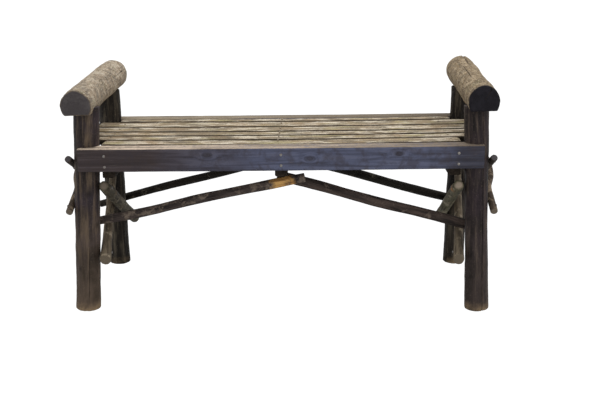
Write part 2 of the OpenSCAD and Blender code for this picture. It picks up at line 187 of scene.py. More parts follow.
@dataclass
class RoundTimber:
    """One natural log, pole or stick along a gently bent centre line, sizes in metres."""

    name: str
    line: list[tuple[float, float, float]]
    radii: list[float]
    seed: int
    up: tuple[float, float, float] = (0.0, 0.0, 1.0)
    sides: int = 72
    step: float = 0.006
    lump: float = 0.0015
    ridge: float = 0.0004
    ridge_count: float = 9.0
    oval: float = 0.02
    twist: float = 0.06
    jowl: float = 0.0
    end_round: tuple[float, float] = (0.003, 0.003)
    cut_slope: tuple[float, float] = (0.0, 0.0)
    checks: list[DryingCheck] = field(default_factory=list)
    knots: list[Knot] = field(default_factory=list)
    flats: list[DressedFlat] = field(default_factory=list)

    def _angles(self) -> np.ndarray:
        """Angles of the sides, packed closer where a drying check needs them."""
        angles = list(np.arange(self.sides) * TAU / self.sides)
        mean = float(np.mean(self.radii))
        for check in self.checks:
            half = check.width / 2.0 / mean
            angles = [a for a in angles if abs(math.remainder(a - check.angle, TAU)) > 1.9 * half]
            angles += [(check.angle + half * k) % TAU for k in (-1.6, -1, -0.55, -0.2, 0, 0.2, 0.55, 1, 1.6)]
        return np.array(sorted(angles))

    def _rings(self, length: float) -> list[tuple[float, float, float, float]]:
        """Places of the rings, as (along, inset, share of the radius, end face)."""
        rings = []
        shares = (0.0, 0.12, 0.3, 0.5, 0.68, 0.84, 0.95)
        arc = [k / 5 * math.pi / 2 for k in range(6)]
        first, last = self.end_round
        rings += [(0.0, first, share, 1.0) for share in shares]
        rings += [(first * (1 - math.cos(a)), first * (1 - math.sin(a)), 1.0,
                   0.9 - 0.9 * a / arc[-1]) for a in arc]
        body = int((length - first - last) / self.step)
        rings += [(first + (length - first - last) * k / body, 0.0, 1.0, 0.0) for k in range(1, body)]
        rings += [(length - last * (1 - math.cos(a)), last * (1 - math.sin(a)), 1.0, 0.9 - 0.9 * a / arc[-1])
                  for a in reversed(arc)]
        rings += [(length, last, share, 1.0) for share in reversed(shares)]
        return rings

    def build(self) -> bpy.types.Object:
        """Builds the timber's mesh, with its grain and wear kept as attributes.

        Returns:
            The new object, at the origin, linked to the scene.
        """
        path = soft_line(np.array(self.line, float), 200)
        run = np.concatenate([[0.0], np.cumsum(np.linalg.norm(np.diff(path, axis=0), axis=1))])
        length = float(run[-1])
        angles = self._angles()
        rings = np.array(self._rings(length))
        along, inset, share, end_face = (rings[:, k][:, None] for k in range(4))
        count, sides = len(rings), len(angles)
        theta = np.broadcast_to(angles[None, :], (count, sides))
        place = np.broadcast_to(along, (count, sides))

        base = np.interp(place, np.linspace(0.0, length, len(self.radii)), self.radii)
        around = np.stack([np.cos(theta), np.sin(theta)], axis=-1)
        coarse = np.column_stack([around.reshape(-1, 2) * 1.3, place.ravel() * 14.0])
        fine = np.column_stack([around.reshape(-1, 2) * self.ridge_count, place.ravel() * 9.0])
        pits = np.column_stack([around.reshape(-1, 2) * base.reshape(-1, 1) * 160.0, place.ravel() * 90.0])
        radius = base * (1.0 + self.oval * np.cos(2.0 * (theta - self.seed)))
        radius = radius + self.lump * rough_noise(coarse, self.seed).reshape(count, sides)
        ridges = rough_noise(fine, self.seed + 5, 3).reshape(count, sides)
        radius = radius + self.ridge * ridges
        low_side = np.abs(np.remainder(theta, TAU) - math.pi)
        cheek = np.exp(-(((low_side - 0.85) / 0.42) ** 2))
        radius = radius + self.jowl * cheek * (1.0 - 0.8 * place / length)
        radius = radius + 0.35 * self.ridge * rough_noise(pits, self.seed + 9, 2).reshape(count, sides)

        knot = np.zeros((count, sides))
        for spot in self.knots:
            arc = np.remainder(theta - spot.angle + math.pi, TAU) - math.pi
            away = np.hypot(arc * base, (place - spot.along) * 0.8) / spot.size
            swell = np.exp(-(away**2)) - 0.55 * np.exp(-((away / 0.45) ** 2))
            radius = radius + spot.height * 1.5 * swell
            knot = np.maximum(knot, np.exp(-((away / 0.75) ** 2)))

        for flat in self.flats:
            facing = np.cos(theta - flat.angle)
            distance = flat.distance + (flat.far_distance - flat.distance) * place / length
            limit = np.where(facing > 0.05, distance / np.maximum(facing, 0.05), 9.0)
            radius = np.minimum(radius, limit + 0.15 * self.ridge * ridges)

        crack = np.zeros((count, sides))
        for check in self.checks:
            opened = np.ones((count, sides))
            if check.start > 0.0:
                opened = opened * smooth_step(check.start, check.start + 0.05, place)
            if check.stop < length:
                opened = opened * (1.0 - smooth_step(check.stop - 0.05, check.stop, place))
            inside = (place >= check.start) & (place <= check.stop)
            arc = np.remainder(theta - check.angle + math.pi, TAU) - math.pi
            waver = 0.75 + 0.5 * value_noise(np.column_stack([place.ravel() * 60, theta.ravel() * 0,
                                                              theta.ravel() * 0]),
                                             self.seed + 3).reshape(count, sides)
            half = check.width / 2.0 * np.maximum(opened * waver, 0.02)
            mouth = np.clip(1.0 - np.abs(arc) * float(np.mean(self.radii)) / half, 0.0, 1.0)
            groove = np.where(inside & (opened > 0.02), mouth**0.7, 0.0)
            radius = radius - np.minimum(check.depth * opened, 0.6 * base) * groove
            crack = np.maximum(crack, groove)
        radius = np.maximum(radius - inset, 0.0005) * share

        turn = self.twist * np.interp(place, [0.0, length / 2, length], [-1.0, 0.3, 1.0])
        cos_t, sin_t = np.cos(theta + turn), np.sin(theta + turn)
        centre = np.column_stack([np.interp(along[:, 0], run, path[:, axis]) for axis in range(3)])
        ahead = np.gradient(centre + 1e-9 * np.arange(count)[:, None], axis=0)
        chord = path[-1] - path[0]
        ahead = np.where(np.linalg.norm(ahead, axis=1)[:, None] < 1e-6, chord, ahead)
        ahead[:8] = path[6] - path[0]
        ahead[-8:] = path[-1] - path[-7]
        ahead = ahead / np.linalg.norm(ahead, axis=1)[:, None]
        up = np.array(self.up)
        side_u = up - ahead * (ahead @ up)[:, None]
        side_u = side_u / np.linalg.norm(side_u, axis=1)[:, None]
        side_v = np.cross(ahead, side_u)
        spread = cos_t[..., None] * side_u[:, None, :] + sin_t[..., None] * side_v[:, None, :]
        points = centre[:, None, :] + spread * radius[..., None]
        slope = np.interp(along[:, 0], [0.0, 0.05, length - 0.05, length],
                          [self.cut_slope[0], 0.0, 0.0, self.cut_slope[1]])
        saw = 0.0004 * rough_noise(points.reshape(-1, 3) * 180.0, self.seed + 12, 2).reshape(count, sides)
        shift = slope[:, None] * radius * cos_t + saw * (end_face > 0.5)
        points = points + ahead[:, None, :] * shift[..., None]

        grain = np.stack([np.cos(theta) * radius, np.sin(theta) * radius, place + 2.7 * self.seed], axis=-1)
        high = np.clip(0.5 + 0.5 * ridges, 0.0, 1.0)
        return timber_object(self.name, points, grain, {
            "end_face": np.broadcast_to(end_face, (count, sides)),
            "crack": crack,
            "knot": knot,
            "high": high,
            "share": np.broadcast_to(along / length, (count, sides)),
            "near_end": np.broadcast_to(np.exp(-along / 0.010), (count, sides)),
        })


def timber_object(name: str, points: np.ndarray, grain: np.ndarray,
                  marks: dict[str, np.ndarray]) -> bpy.types.Object:
    """Makes one closed, smooth mesh from rings of points.

    Args:
        name: the object's name.
        points: places, as rings by sides by three.
        grain: places in the timber's own grain, in the same layout.
        marks: values to keep on the points, as rings by sides.

    Returns:
        The new object, linked to the scene.
    """
    count, sides, _ = points.shape
    places = points.reshape(-1, 3)
    index = np.arange(count * sides).reshape(count, sides)
    start, stop = index[1:-2, :], index[2:-1, :]
    quads = np.stack([start, np.roll(start, -1, axis=1), np.roll(stop, -1, axis=1), stop],
                     axis=-1).reshape(-1, 4)
    first, last = index[1, :], index[-2, :]
    low_pole, high_pole = index[0, 0], index[-1, 0]
    fans = [(int(low_pole), int(b), int(a)) for a, b in zip(first, np.roll(first, -1))]
    fans += [(int(high_pole), int(a), int(b)) for a, b in zip(last, np.roll(last, -1))]
    mesh = bpy.data.meshes.new(name)
    keep = np.concatenate([[low_pole], index[1:-1, :].ravel(), [high_pole]])
    lookup = np.zeros(count * sides, int)
    lookup[keep] = np.arange(len(keep))
    faces = lookup[quads].tolist() + [tuple(int(lookup[i]) for i in fan) for fan in fans]
    mesh.from_pydata(places[keep].tolist(), [], faces)
    mesh.update()
    volume = sum(p.area * p.normal.dot(p.center - Vector(places.mean(0))) for p in mesh.polygons)
    if volume < 0.0:
        mesh.flip_normals()
    store_vectors(mesh, "grain_at", grain.reshape(-1, 3)[keep])
    for mark, values in marks.items():
        attribute = mesh.attributes.new(mark, "FLOAT", "POINT")
        attribute.data.foreach_set("value", np.ascontiguousarray(values.reshape(-1)[keep], np.float32))
    mesh.shade_smooth()
    piece = bpy.data.objects.new(name, mesh)
    bpy.context.scene.collection.objects.link(piece)
    return piece


def store_vectors(mesh: bpy.types.Mesh, name: str, values: np.ndarray) -> None:
    """Keeps one vector on each point of a mesh."""
    attribute = mesh.attributes.new(name, "FLOAT_VECTOR", "POINT")
    attribute.data.foreach_set("vector", np.ascontiguousarray(values.ravel(), np.float32))


# ---------------------------------------------------------------- node helpers


Socket = bpy.types.NodeSocket
Value = object


class NodeBoard:
    """Lays out and joins nodes in one tree."""

    def __init__(self, tree: bpy.types.NodeTree) -> None:
        """Keeps the tree to work on."""
        self.tree = tree

    def add(self, kind: str, inputs: dict | None = None, **settings: Value) -> bpy.types.Node:
        """Adds a node.

        Args:
            kind: the node's type name.
            inputs: values or sockets for its inputs, by name or number.
            **settings: the node's own settings.

        Returns:
            The new node.
        """
        node = self.tree.nodes.new(kind)
        for key, value in settings.items():
            setattr(node, key, value)
        for key, value in (inputs or {}).items():
            if isinstance(value, bpy.types.NodeSocket):
                self.tree.links.new(value, node.inputs[key])
            else:
                node.inputs[key].default_value = value
        return node

    def math(self, operation: str, a: Value, b: Value = 0.0, c: Value = 0.0, clamp: bool = False) -> Socket:
        """One arithmetic step on plain numbers."""
        kind = "ShaderNodeMath"
        return self.add(kind, {0: a, 1: b, 2: c}, operation=operation, use_clamp=clamp).outputs[0]

    def vector(self, operation: str, a: Value, b: Value = (0.0, 0.0, 0.0)) -> Socket:
        """One arithmetic step on vectors."""
        return self.add("ShaderNodeVectorMath", {0: a, 1: b}, operation=operation).outputs[0]

    def noise(self, at: Value, scale: float, detail: float = 4.0, rough: float = 0.6,
              bend: float = 0.0) -> Socket:
        """Cloudy noise from 0 to 1."""
        inputs = {"Vector": at, "Scale": scale, "Detail": detail, "Roughness": rough, "Distortion": bend}
        return self.add("ShaderNodeTexNoise", inputs).outputs[0]

    def ramp(self, value: Socket, low: float, high: float, start: float = 0.0, stop: float = 1.0) -> Socket:
        """A clamped straight ramp from start at low to stop at high."""
        inputs = {"Value": value, "From Min": low, "From Max": high, "To Min": start, "To Max": stop}
        return self.add("ShaderNodeMapRange", inputs, clamp=True).outputs[0]

    def tones(self, value: Socket, stops: list[tuple[float, tuple[float, float, float]]]) -> Socket:
        """A colour ramp through the given stops."""
        node = self.add("ShaderNodeValToRGB", {0: value})
        elements = node.color_ramp.elements
        while len(elements) < len(stops):
            elements.new(0.5)
        for element, (position, colour) in zip(elements, stops):
            element.position = position
            element.color = (*colour, 1.0)
        return node.outputs[0]

    def blend(self, share: Value, a: Value, b: Value, mode: str = "MIX") -> Socket:
        """Blends two colours, a where share is 0 and b where it is 1."""
        wide = [(*v, 1.0) if isinstance(v, tuple) and len(v) == 3 else v for v in (a, b)]
        node = self.add("ShaderNodeMix", {0: share, 6: wide[0], 7: wide[1]}, data_type="RGBA",
                        blend_type=mode)
        return node.outputs[2]


def group_tree(name: str, kind: str, inputs: list[tuple],
               outputs: list[tuple]) -> tuple[NodeBoard, dict, bpy.types.Node]:
    """Starts a node group with named inputs and outputs.

    Args:
        name: the group's name.
        kind: "ShaderNodeTree" or "GeometryNodeTree".
        inputs: (name, socket type, default or None) rows.
        outputs: (name, socket type) rows.

    Returns:
        The board to build on, the inputs' sockets by name, and the output node.
    """
    tree = bpy.data.node_groups.new(name, kind)
    for label, socket, default in inputs:
        made = tree.interface.new_socket(label, in_out="INPUT", socket_type=socket)
        if default is not None:
            made.default_value = default
    for label, socket in outputs:
        tree.interface.new_socket(label, in_out="OUTPUT", socket_type=socket)
    board = NodeBoard(tree)
    entry = board.add("NodeGroupInput")
    leave = board.add("NodeGroupOutput")
    return board, {row[0]: entry.outputs[row[0]] for row in inputs}, leave


class SharedEffects:
    """Effects that several finishes use, each one shader node group built once."""

    def __init__(self) -> None:
        """Builds the groups."""
        self.grain = self._grain()
        self.lichen = self._lichen()
        self.end_grain = self._end_grain()

    def place(self, board: NodeBoard, group: bpy.types.NodeTree, inputs: dict) -> bpy.types.Node:
        """Places a group in a material with its own values."""
        node = board.add("ShaderNodeGroup", node_tree=group)
        for key, value in inputs.items():
            if isinstance(value, bpy.types.NodeSocket):
                board.tree.links.new(value, node.inputs[key])
            else:
                node.inputs[key].default_value = value
        return node

    @staticmethod
    def _grain() -> bpy.types.NodeTree:
        """Long streaks and fine fibres that run along the grain."""
        board, given, leave = group_tree(
            "wood grain", "ShaderNodeTree",
            [("Vector", "NodeSocketVector", None), ("Streak Scale", "NodeSocketFloat", 60.0),
             ("Fibre Scale", "NodeSocketFloat", 420.0), ("Stretch", "NodeSocketFloat", 0.06)],
            [("Streaks", "NodeSocketFloat"), ("Fibres", "NodeSocketFloat"), ("Height", "NodeSocketFloat")],
        )
        shrink = board.add("ShaderNodeCombineXYZ", {0: 1.0, 1: 1.0, 2: given["Stretch"]}).outputs[0]
        drawn = board.vector("MULTIPLY", given["Vector"], shrink)
        streaks = board.noise(drawn, given["Streak Scale"], 5.0, 0.62, 0.35)
        fibres = board.noise(drawn, given["Fibre Scale"], 3.0, 0.7, 0.1)
        height = board.math("MULTIPLY_ADD", streaks, 0.6, board.math("MULTIPLY", fibres, 0.4))
        for label, value in (("Streaks", streaks), ("Fibres", fibres), ("Height", height)):
            board.tree.links.new(value, leave.inputs[label])
        return board.tree

    @staticmethod
    def _lichen() -> bpy.types.NodeTree:
        """Crusty patches with broken rims."""
        board, given, leave = group_tree(
            "lichen", "ShaderNodeTree",
            [("Vector", "NodeSocketVector", None), ("Scale", "NodeSocketFloat", 60.0),
             ("Cover", "NodeSocketFloat", 0.5)],
            [("Mask", "NodeSocketFloat")],
        )
        wide = board.noise(given["Vector"], given["Scale"], 3.0, 0.6, 0.6)
        fine_scale = board.math("MULTIPLY", given["Scale"], 7.0)
        fine = board.noise(given["Vector"], fine_scale, 4.0, 0.75)
        summed = board.math("MULTIPLY_ADD", fine, 0.45, wide)
        level = board.math("SUBTRACT", 1.18, board.math("MULTIPLY", given["Cover"], 0.9))
        over = board.math("SUBTRACT", summed, level)
        mask = board.math("MULTIPLY", over, 9.0, clamp=True)
        board.tree.links.new(mask, leave.inputs["Mask"])
        return board.tree

    @staticmethod
    def _end_grain() -> bpy.types.NodeTree:
        """Growth rings and fine radial checks on a sawn end."""
        board, given, leave = group_tree(
            "end grain", "ShaderNodeTree",
            [("Vector", "NodeSocketVector", None), ("Ring Spacing", "NodeSocketFloat", 0.004)],
            [("Rings", "NodeSocketFloat"), ("Rays", "NodeSocketFloat")],
        )
        parts = board.add("ShaderNodeSeparateXYZ", {0: given["Vector"]}).outputs
        wander = board.noise(given["Vector"], 60.0, 3.0, 0.5)
        reach = board.math("SQRT", board.math("ADD", board.math("MULTIPLY", parts[0], parts[0]),
                                              board.math("MULTIPLY", parts[1], parts[1])))
        turned = board.math("MULTIPLY_ADD", wander, 0.006, reach)
        phase = board.math("MULTIPLY", board.math("DIVIDE", turned, given["Ring Spacing"]), TAU)
        rings = board.math("MULTIPLY_ADD", board.math("SINE", phase), 0.5, 0.5)
        angle = board.math("ARCTAN2", parts[1], parts[0])
        spoke = board.add("ShaderNodeCombineXYZ", {0: board.math("MULTIPLY", angle, 5.0),
                                                   1: board.math("MULTIPLY", reach, 14.0),
                                                   2: parts[2]}).outputs[0]
        rays = board.ramp(board.noise(spoke, 2.4, 3.0, 0.6), 0.60, 0.70)
        board.tree.links.new(rings, leave.inputs["Rings"])
        board.tree.links.new(rays, leave.inputs["Rays"])
        return board.tree


# ---------------------------------------------------------------- finishes


Colour = tuple[float, float, float]


class FinishName(Enum):
    """The bench's finishes, by the record's material slots."""

    POST = "post_wood"
    LOG = "log_wood"
    BOARD = "board_wood"
    BEARER = "bearer_wood"
    SLAT = "slat_wood"
    STICK = "stick_wood"
    NAIL = "nail_metal"


def start_material(name: str, roughness: float,
                   shine: float = 0.5) -> tuple[bpy.types.Material, NodeBoard, bpy.types.Node]:
    """Starts a material with one Principled shader.

    Args:
        name: the material's name.
        roughness: its plain roughness.
        shine: how strongly it mirrors, 0.5 is plain.

    Returns:
        The material, the board to build on and the shader node.
    """
    material = bpy.data.materials.new(name)
    material.use_nodes = True
    tree = material.node_tree
    tree.nodes.clear()
    board = NodeBoard(tree)
    shader = board.add("ShaderNodeBsdfPrincipled", {"Roughness": roughness, "Specular IOR Level": shine})
    out = board.add("ShaderNodeOutputMaterial", {0: shader.outputs[0]})
    out.target = "ALL"
    return material, board, shader


def mark(board: NodeBoard, name: str) -> Socket:
    """A value kept on the mesh's points."""
    return board.add("ShaderNodeAttribute", attribute_name=name).outputs["Fac"]


def grain_place(board: NodeBoard) -> Socket:
    """The point's place in the timber's own grain."""
    return board.add("ShaderNodeAttribute", attribute_name="grain_at").outputs["Vector"]


@dataclass(frozen=True)
class PostFinish:
    """Old dark stain with a painted purple sheen in patches, worn to brown low down and to bare wood at the
    foot.
    """

    name: str = "stained post"
    dark: Colour = (0.012, 0.009, 0.008)
    stain: Colour = (0.052, 0.038, 0.034)
    worn: Colour = (0.165, 0.118, 0.078)
    bare: Colour = (0.46, 0.32, 0.18)
    # painted_sheen: a purple colour that stands in for a sheen of reflected light, laid into the base colour
    painted_sheen: Colour = (0.060, 0.045, 0.064)
    speck: Colour = (0.17, 0.135, 0.105)
    crack: Colour = (0.006, 0.005, 0.005)
    foot_height: float = 0.030
    fade_height: float = 0.30
    fade_amount: float = 0.5

    def dress(self, effects: SharedEffects) -> bpy.types.Material:
        """Builds the material.

        Args:
            effects: the shared shader groups.

        Returns:
            The material.
        """
        material, board, shader = start_material(self.name, 0.55, 0.16)
        at = grain_place(board)
        spot = board.add("ShaderNodeTexCoord").outputs["Object"]
        height = board.add("ShaderNodeSeparateXYZ", {0: spot}).outputs[2]
        grain = effects.place(board, effects.grain, {"Vector": at, "Streak Scale": 62.0,
                                                     "Fibre Scale": 380.0, "Stretch": 0.10})
        cloud = board.noise(at, 11.0, 4.0, 0.6, 0.4)
        colour = board.tones(grain.outputs["Streaks"], [(0.38, self.dark), (0.50, self.stain),
                                                        (0.63, self.worn)])
        # Painted sheen: the purple colour is laid over the stain in cloudy patches.
        colour = board.blend(board.ramp(cloud, 0.45, 0.65, 0.0, 0.6), colour, self.painted_sheen, "MIX")
        fibre = board.ramp(grain.outputs["Fibres"], 0.35, 0.7)
        colour = board.blend(board.math("MULTIPLY", fibre, 0.6), colour, self.dark)
        specks = board.ramp(board.noise(at, 260.0, 2.0, 0.7), 0.62, 0.70, 0.0, 0.5)
        colour = board.blend(specks, colour, self.speck)
        low = board.ramp(height, 0.0, self.fade_height, self.fade_amount, 0.0)
        scuffs = board.math("MULTIPLY",
                            board.math("ADD", low, board.ramp(mark(board, "high"), 0.62, 0.9, 0.0, 0.35)),
                            board.ramp(cloud, 0.35, 0.6, 0.35, 1.0))
        colour = board.blend(scuffs, colour, self.worn)
        ragged = board.math("MULTIPLY_ADD", board.noise(at, 90.0, 3.0, 0.7), 0.03, height)
        foot = board.ramp(ragged, 0.012, 0.012 + self.foot_height, 0.75, 0.0)
        colour = board.blend(board.math("MULTIPLY", foot, board.ramp(cloud, 0.40, 0.62)), colour, self.bare)
        colour = board.blend(board.math("MULTIPLY", mark(board, "knot"), 0.7), colour, self.dark)
        colour = board.blend(board.ramp(mark(board, "crack"), 0.05, 0.5), colour, self.crack)
        board.tree.links.new(colour, shader.inputs["Base Color"])
        rough = board.ramp(grain.outputs["Streaks"], 0.3, 0.7, 0.42, 0.66)
        board.tree.links.new(rough, shader.inputs["Roughness"])
        bump = board.add("ShaderNodeBump", {"Strength": 0.5, "Distance": 0.0012,
                                            "Height": grain.outputs["Height"]})
        board.tree.links.new(bump.outputs[0], shader.inputs["Normal"])
        return material


@dataclass(frozen=True)
class ArmLogFinish:
    """Silver-tan weathered log, speckled with lichen, with a dark stained end."""

    name: str
    end: Colour
    end_light: Colour
    rim: Colour
    end_spread: float = 0.0
    tan: Colour = (0.29, 0.216, 0.142)
    grey: Colour = (0.20, 0.168, 0.132)
    pale: Colour = (0.50, 0.43, 0.335)
    dark: Colour = (0.075, 0.056, 0.040)
    moss: Colour = (0.20, 0.182, 0.090)
    fleck: Colour = (0.62, 0.55, 0.44)
    ray: Colour = (0.008, 0.007, 0.008)
    crack: Colour = (0.020, 0.014, 0.010)

    def dress(self, effects: SharedEffects) -> bpy.types.Material:
        """Builds the material.

        Args:
            effects: the shared shader groups.

        Returns:
            The material.
        """
        material, board, shader = start_material(self.name, 0.85, 0.15)
        at = grain_place(board)
        grain = effects.place(board, effects.grain, {"Vector": at, "Streak Scale": 85.0,
                                                     "Fibre Scale": 360.0, "Stretch": 0.10})
        cloud = board.noise(at, 34.0, 6.0, 0.72, 0.3)
        colour = board.tones(cloud, [(0.40, self.grey), (0.5, self.tan), (0.61, self.pale)])
        colour = board.blend(board.ramp(grain.outputs["Streaks"], 0.52, 0.68, 0.0, 0.6), colour, self.dark)
        colour = board.blend(board.ramp(grain.outputs["Fibres"], 0.50, 0.68, 0.0, 0.6), colour, self.dark)
        crust = effects.place(board, effects.lichen, {"Vector": at, "Scale": 70.0, "Cover": 0.46})
        colour = board.blend(board.math("MULTIPLY", crust.outputs["Mask"], 0.5), colour, self.pale)
        moss = effects.place(board, effects.lichen, {"Vector": at, "Scale": 24.0, "Cover": 0.42})
        colour = board.blend(board.math("MULTIPLY", moss.outputs["Mask"], 0.55), colour, self.moss)
        specks = board.ramp(board.noise(at, 230.0, 3.0, 0.75), 0.53, 0.61, 0.0, 0.95)
        colour = board.blend(specks, colour, self.dark)
        flecks = board.ramp(board.noise(board.vector("ADD", at, (0.0, 0.0, 5.0)), 250.0, 3.0, 0.75), 0.54,
                            0.62, 0.0, 0.8)
        colour = board.blend(flecks, colour, self.fleck)
        colour = board.blend(board.math("MULTIPLY", mark(board, "knot"), 0.6), colour, self.dark)
        end = mark(board, "end_face")
        rings = effects.place(board, effects.end_grain, {"Vector": at, "Ring Spacing": 0.0045})
        face = board.blend(board.ramp(rings.outputs["Rings"], 0.2, 0.9, 0.0, 0.35), self.end, self.end_light)
        blotch = board.noise(at, 55.0, 4.0, 0.65)
        face = board.blend(board.ramp(blotch, 0.45, 0.65, 0.0, 0.8), face, self.end_light)
        face = board.blend(board.math("MULTIPLY", rings.outputs["Rays"], 0.5), face, self.ray)
        spread = board.math("ADD", end, board.math("MULTIPLY", mark(board, "near_end"), self.end_spread))
        edge = board.math("MULTIPLY_ADD", blotch, 0.5, board.math("SUBTRACT", spread, 0.25))
        is_rim = board.math("SUBTRACT", board.ramp(edge, 0.12, 0.45), board.ramp(edge, 0.45, 0.75))
        colour = board.blend(board.math("MULTIPLY", is_rim, 0.8), colour, self.rim)
        colour = board.blend(board.ramp(edge, 0.45, 0.70), colour, face)
        colour = board.blend(board.ramp(mark(board, "crack"), 0.08, 0.5), colour, self.crack)
        board.tree.links.new(colour, shader.inputs["Base Color"])
        rough = board.ramp(end, 0.0, 1.0, 0.88, 0.62)
        board.tree.links.new(rough, shader.inputs["Roughness"])
        relief = board.math("MULTIPLY_ADD", cloud, 0.5, grain.outputs["Height"])
        bump = board.add("ShaderNodeBump", {"Strength": 0.7, "Distance": 0.0016, "Height": relief})
        board.tree.links.new(bump.outputs[0], shader.inputs["Normal"])
        return material


@dataclass(frozen=True)
class ApronFinish:
    """Stained apron board, purple-brown at one end and a painted bluish reflection at the other, pale along
    the worn arris.
    """

    name: str = "apron board"
    brown: Colour = (0.060, 0.043, 0.042)
    # painted_reflection_blue: a bluish colour that stands in for a reflection of the sky, dimmer at the far
    # end
    painted_reflection_blue: Colour = (0.112, 0.126, 0.205)
    blotch: Colour = (0.046, 0.037, 0.044)
    painted_reflection_blue_dim: Colour = (0.032, 0.031, 0.044)
    worn: Colour = (0.66, 0.535, 0.415)
    worn_dark: Colour = (0.10, 0.075, 0.055)
    streak: Colour = (0.020, 0.016, 0.018)
    light_streak: Colour = (0.125, 0.115, 0.130)
    fleck: Colour = (0.21, 0.17, 0.15)
    eye: Colour = (0.022, 0.015, 0.014)
    faded: Colour = (0.075, 0.055, 0.038)
    bare_reach: float = 0.0
    knots: tuple[tuple[float, float], ...] = ((-0.185, 0.430), (0.075, 0.420), (0.300, 0.432))

    def dress(self, effects: SharedEffects) -> bpy.types.Material:
        """Builds the material.

        Args:
            effects: the shared shader groups.

        Returns:
            The material.
        """
        material, board, shader = start_material(self.name, 0.5, 0.22)
        at = grain_place(board)
        spot = board.add("ShaderNodeTexCoord").outputs["Object"]
        parts = board.add("ShaderNodeSeparateXYZ", {0: spot}).outputs
        eyes = None
        for x, z in self.knots:
            across = board.math("MULTIPLY", board.math("SUBTRACT", parts[0], x), 80.0)
            upward = board.math("MULTIPLY", board.math("SUBTRACT", parts[2], z), 140.0)
            away = board.math("SQRT", board.math("MULTIPLY_ADD", across, across,
                                                 board.math("MULTIPLY", upward, upward)))
            near = board.math("DIVIDE", 1.0, board.math("MULTIPLY_ADD", away, away, 1.0))
            eyes = near if eyes is None else board.math("MAXIMUM", eyes, near)
        swirl = board.add("ShaderNodeCombineXYZ", {0: board.math("MULTIPLY", eyes, 0.045), 1: 0.0,
                                                   2: 0.0}).outputs[0]
        bent = board.vector("ADD", at, swirl)
        grain = effects.place(board, effects.grain, {"Vector": bent, "Streak Scale": 95.0,
                                                     "Fibre Scale": 520.0, "Stretch": 0.04})
        cloud = board.noise(at, 9.0, 4.0, 0.6, 0.5)
        # Painted reflection: along the board the purple-brown stain gives way to a painted bluish reflection,
        # dimmer again at the far end.
        side = board.math("MULTIPLY_ADD", cloud, 0.35, board.math("SUBTRACT", parts[0], 0.175))
        middle = board.ramp(side, -0.36, -0.02)
        far = board.ramp(side, 0.38, 0.47)
        colour = board.blend(middle, self.brown, self.painted_reflection_blue)
        colour = board.blend(board.math("MULTIPLY", far, 0.8), colour, self.painted_reflection_blue_dim)
        colour = board.blend(board.ramp(grain.outputs["Streaks"], 0.42, 0.66, 0.0, 0.62), colour,
                             self.streak)
        light = board.ramp(grain.outputs["Streaks"], 0.50, 0.32, 0.0, 0.30)
        colour = board.blend(light, colour, self.light_streak)
        stains = board.ramp(board.noise(at, 34.0, 5.0, 0.65, 0.4), 0.48, 0.64, 0.0, 0.55)
        colour = board.blend(stains, colour, self.blotch)
        fleck = board.math("MULTIPLY", board.ramp(grain.outputs["Fibres"], 0.60, 0.72),
                           board.ramp(cloud, 0.48, 0.60, 0.0, 0.5))
        colour = board.blend(fleck, colour, self.fleck)
        colour = board.blend(board.ramp(eyes, 0.35, 0.75, 0.0, 0.6), colour, self.eye)
        topness = mark(board, "top_face")
        arris = board.math("MULTIPLY", mark(board, "wear"), board.ramp(topness, 0.0, 0.5, 0.3, 1.0))
        wear = board.math("MULTIPLY_ADD", board.noise(at, 70.0, 4.0, 0.7), 0.9, arris)
        bare = board.ramp(board.math("MULTIPLY_ADD", topness, 0.75 + self.bare_reach, wear), 0.92, 1.25)
        bleached = board.blend(board.ramp(grain.outputs["Streaks"], 0.46, 0.66), self.worn, self.worn_dark)
        bleached = board.blend(board.ramp(grain.outputs["Fibres"], 0.50, 0.68, 0.0, 0.6), bleached,
                               self.worn_dark)
        fade = board.ramp(parts[0], -0.40, 0.45, 0.0, 0.72)
        bleached = board.blend(fade, bleached, self.faded)
        colour = board.blend(bare, colour, bleached)
        board.tree.links.new(colour, shader.inputs["Base Color"])
        rough = board.ramp(bare, 0.0, 1.0, 0.42, 0.8)
        board.tree.links.new(rough, shader.inputs["Roughness"])
        bump = board.add("ShaderNodeBump", {"Strength": 0.45, "Distance": 0.0010,
                                            "Height": grain.outputs["Height"]})
        board.tree.links.new(bump.outputs[0], shader.inputs["Normal"])
        return material


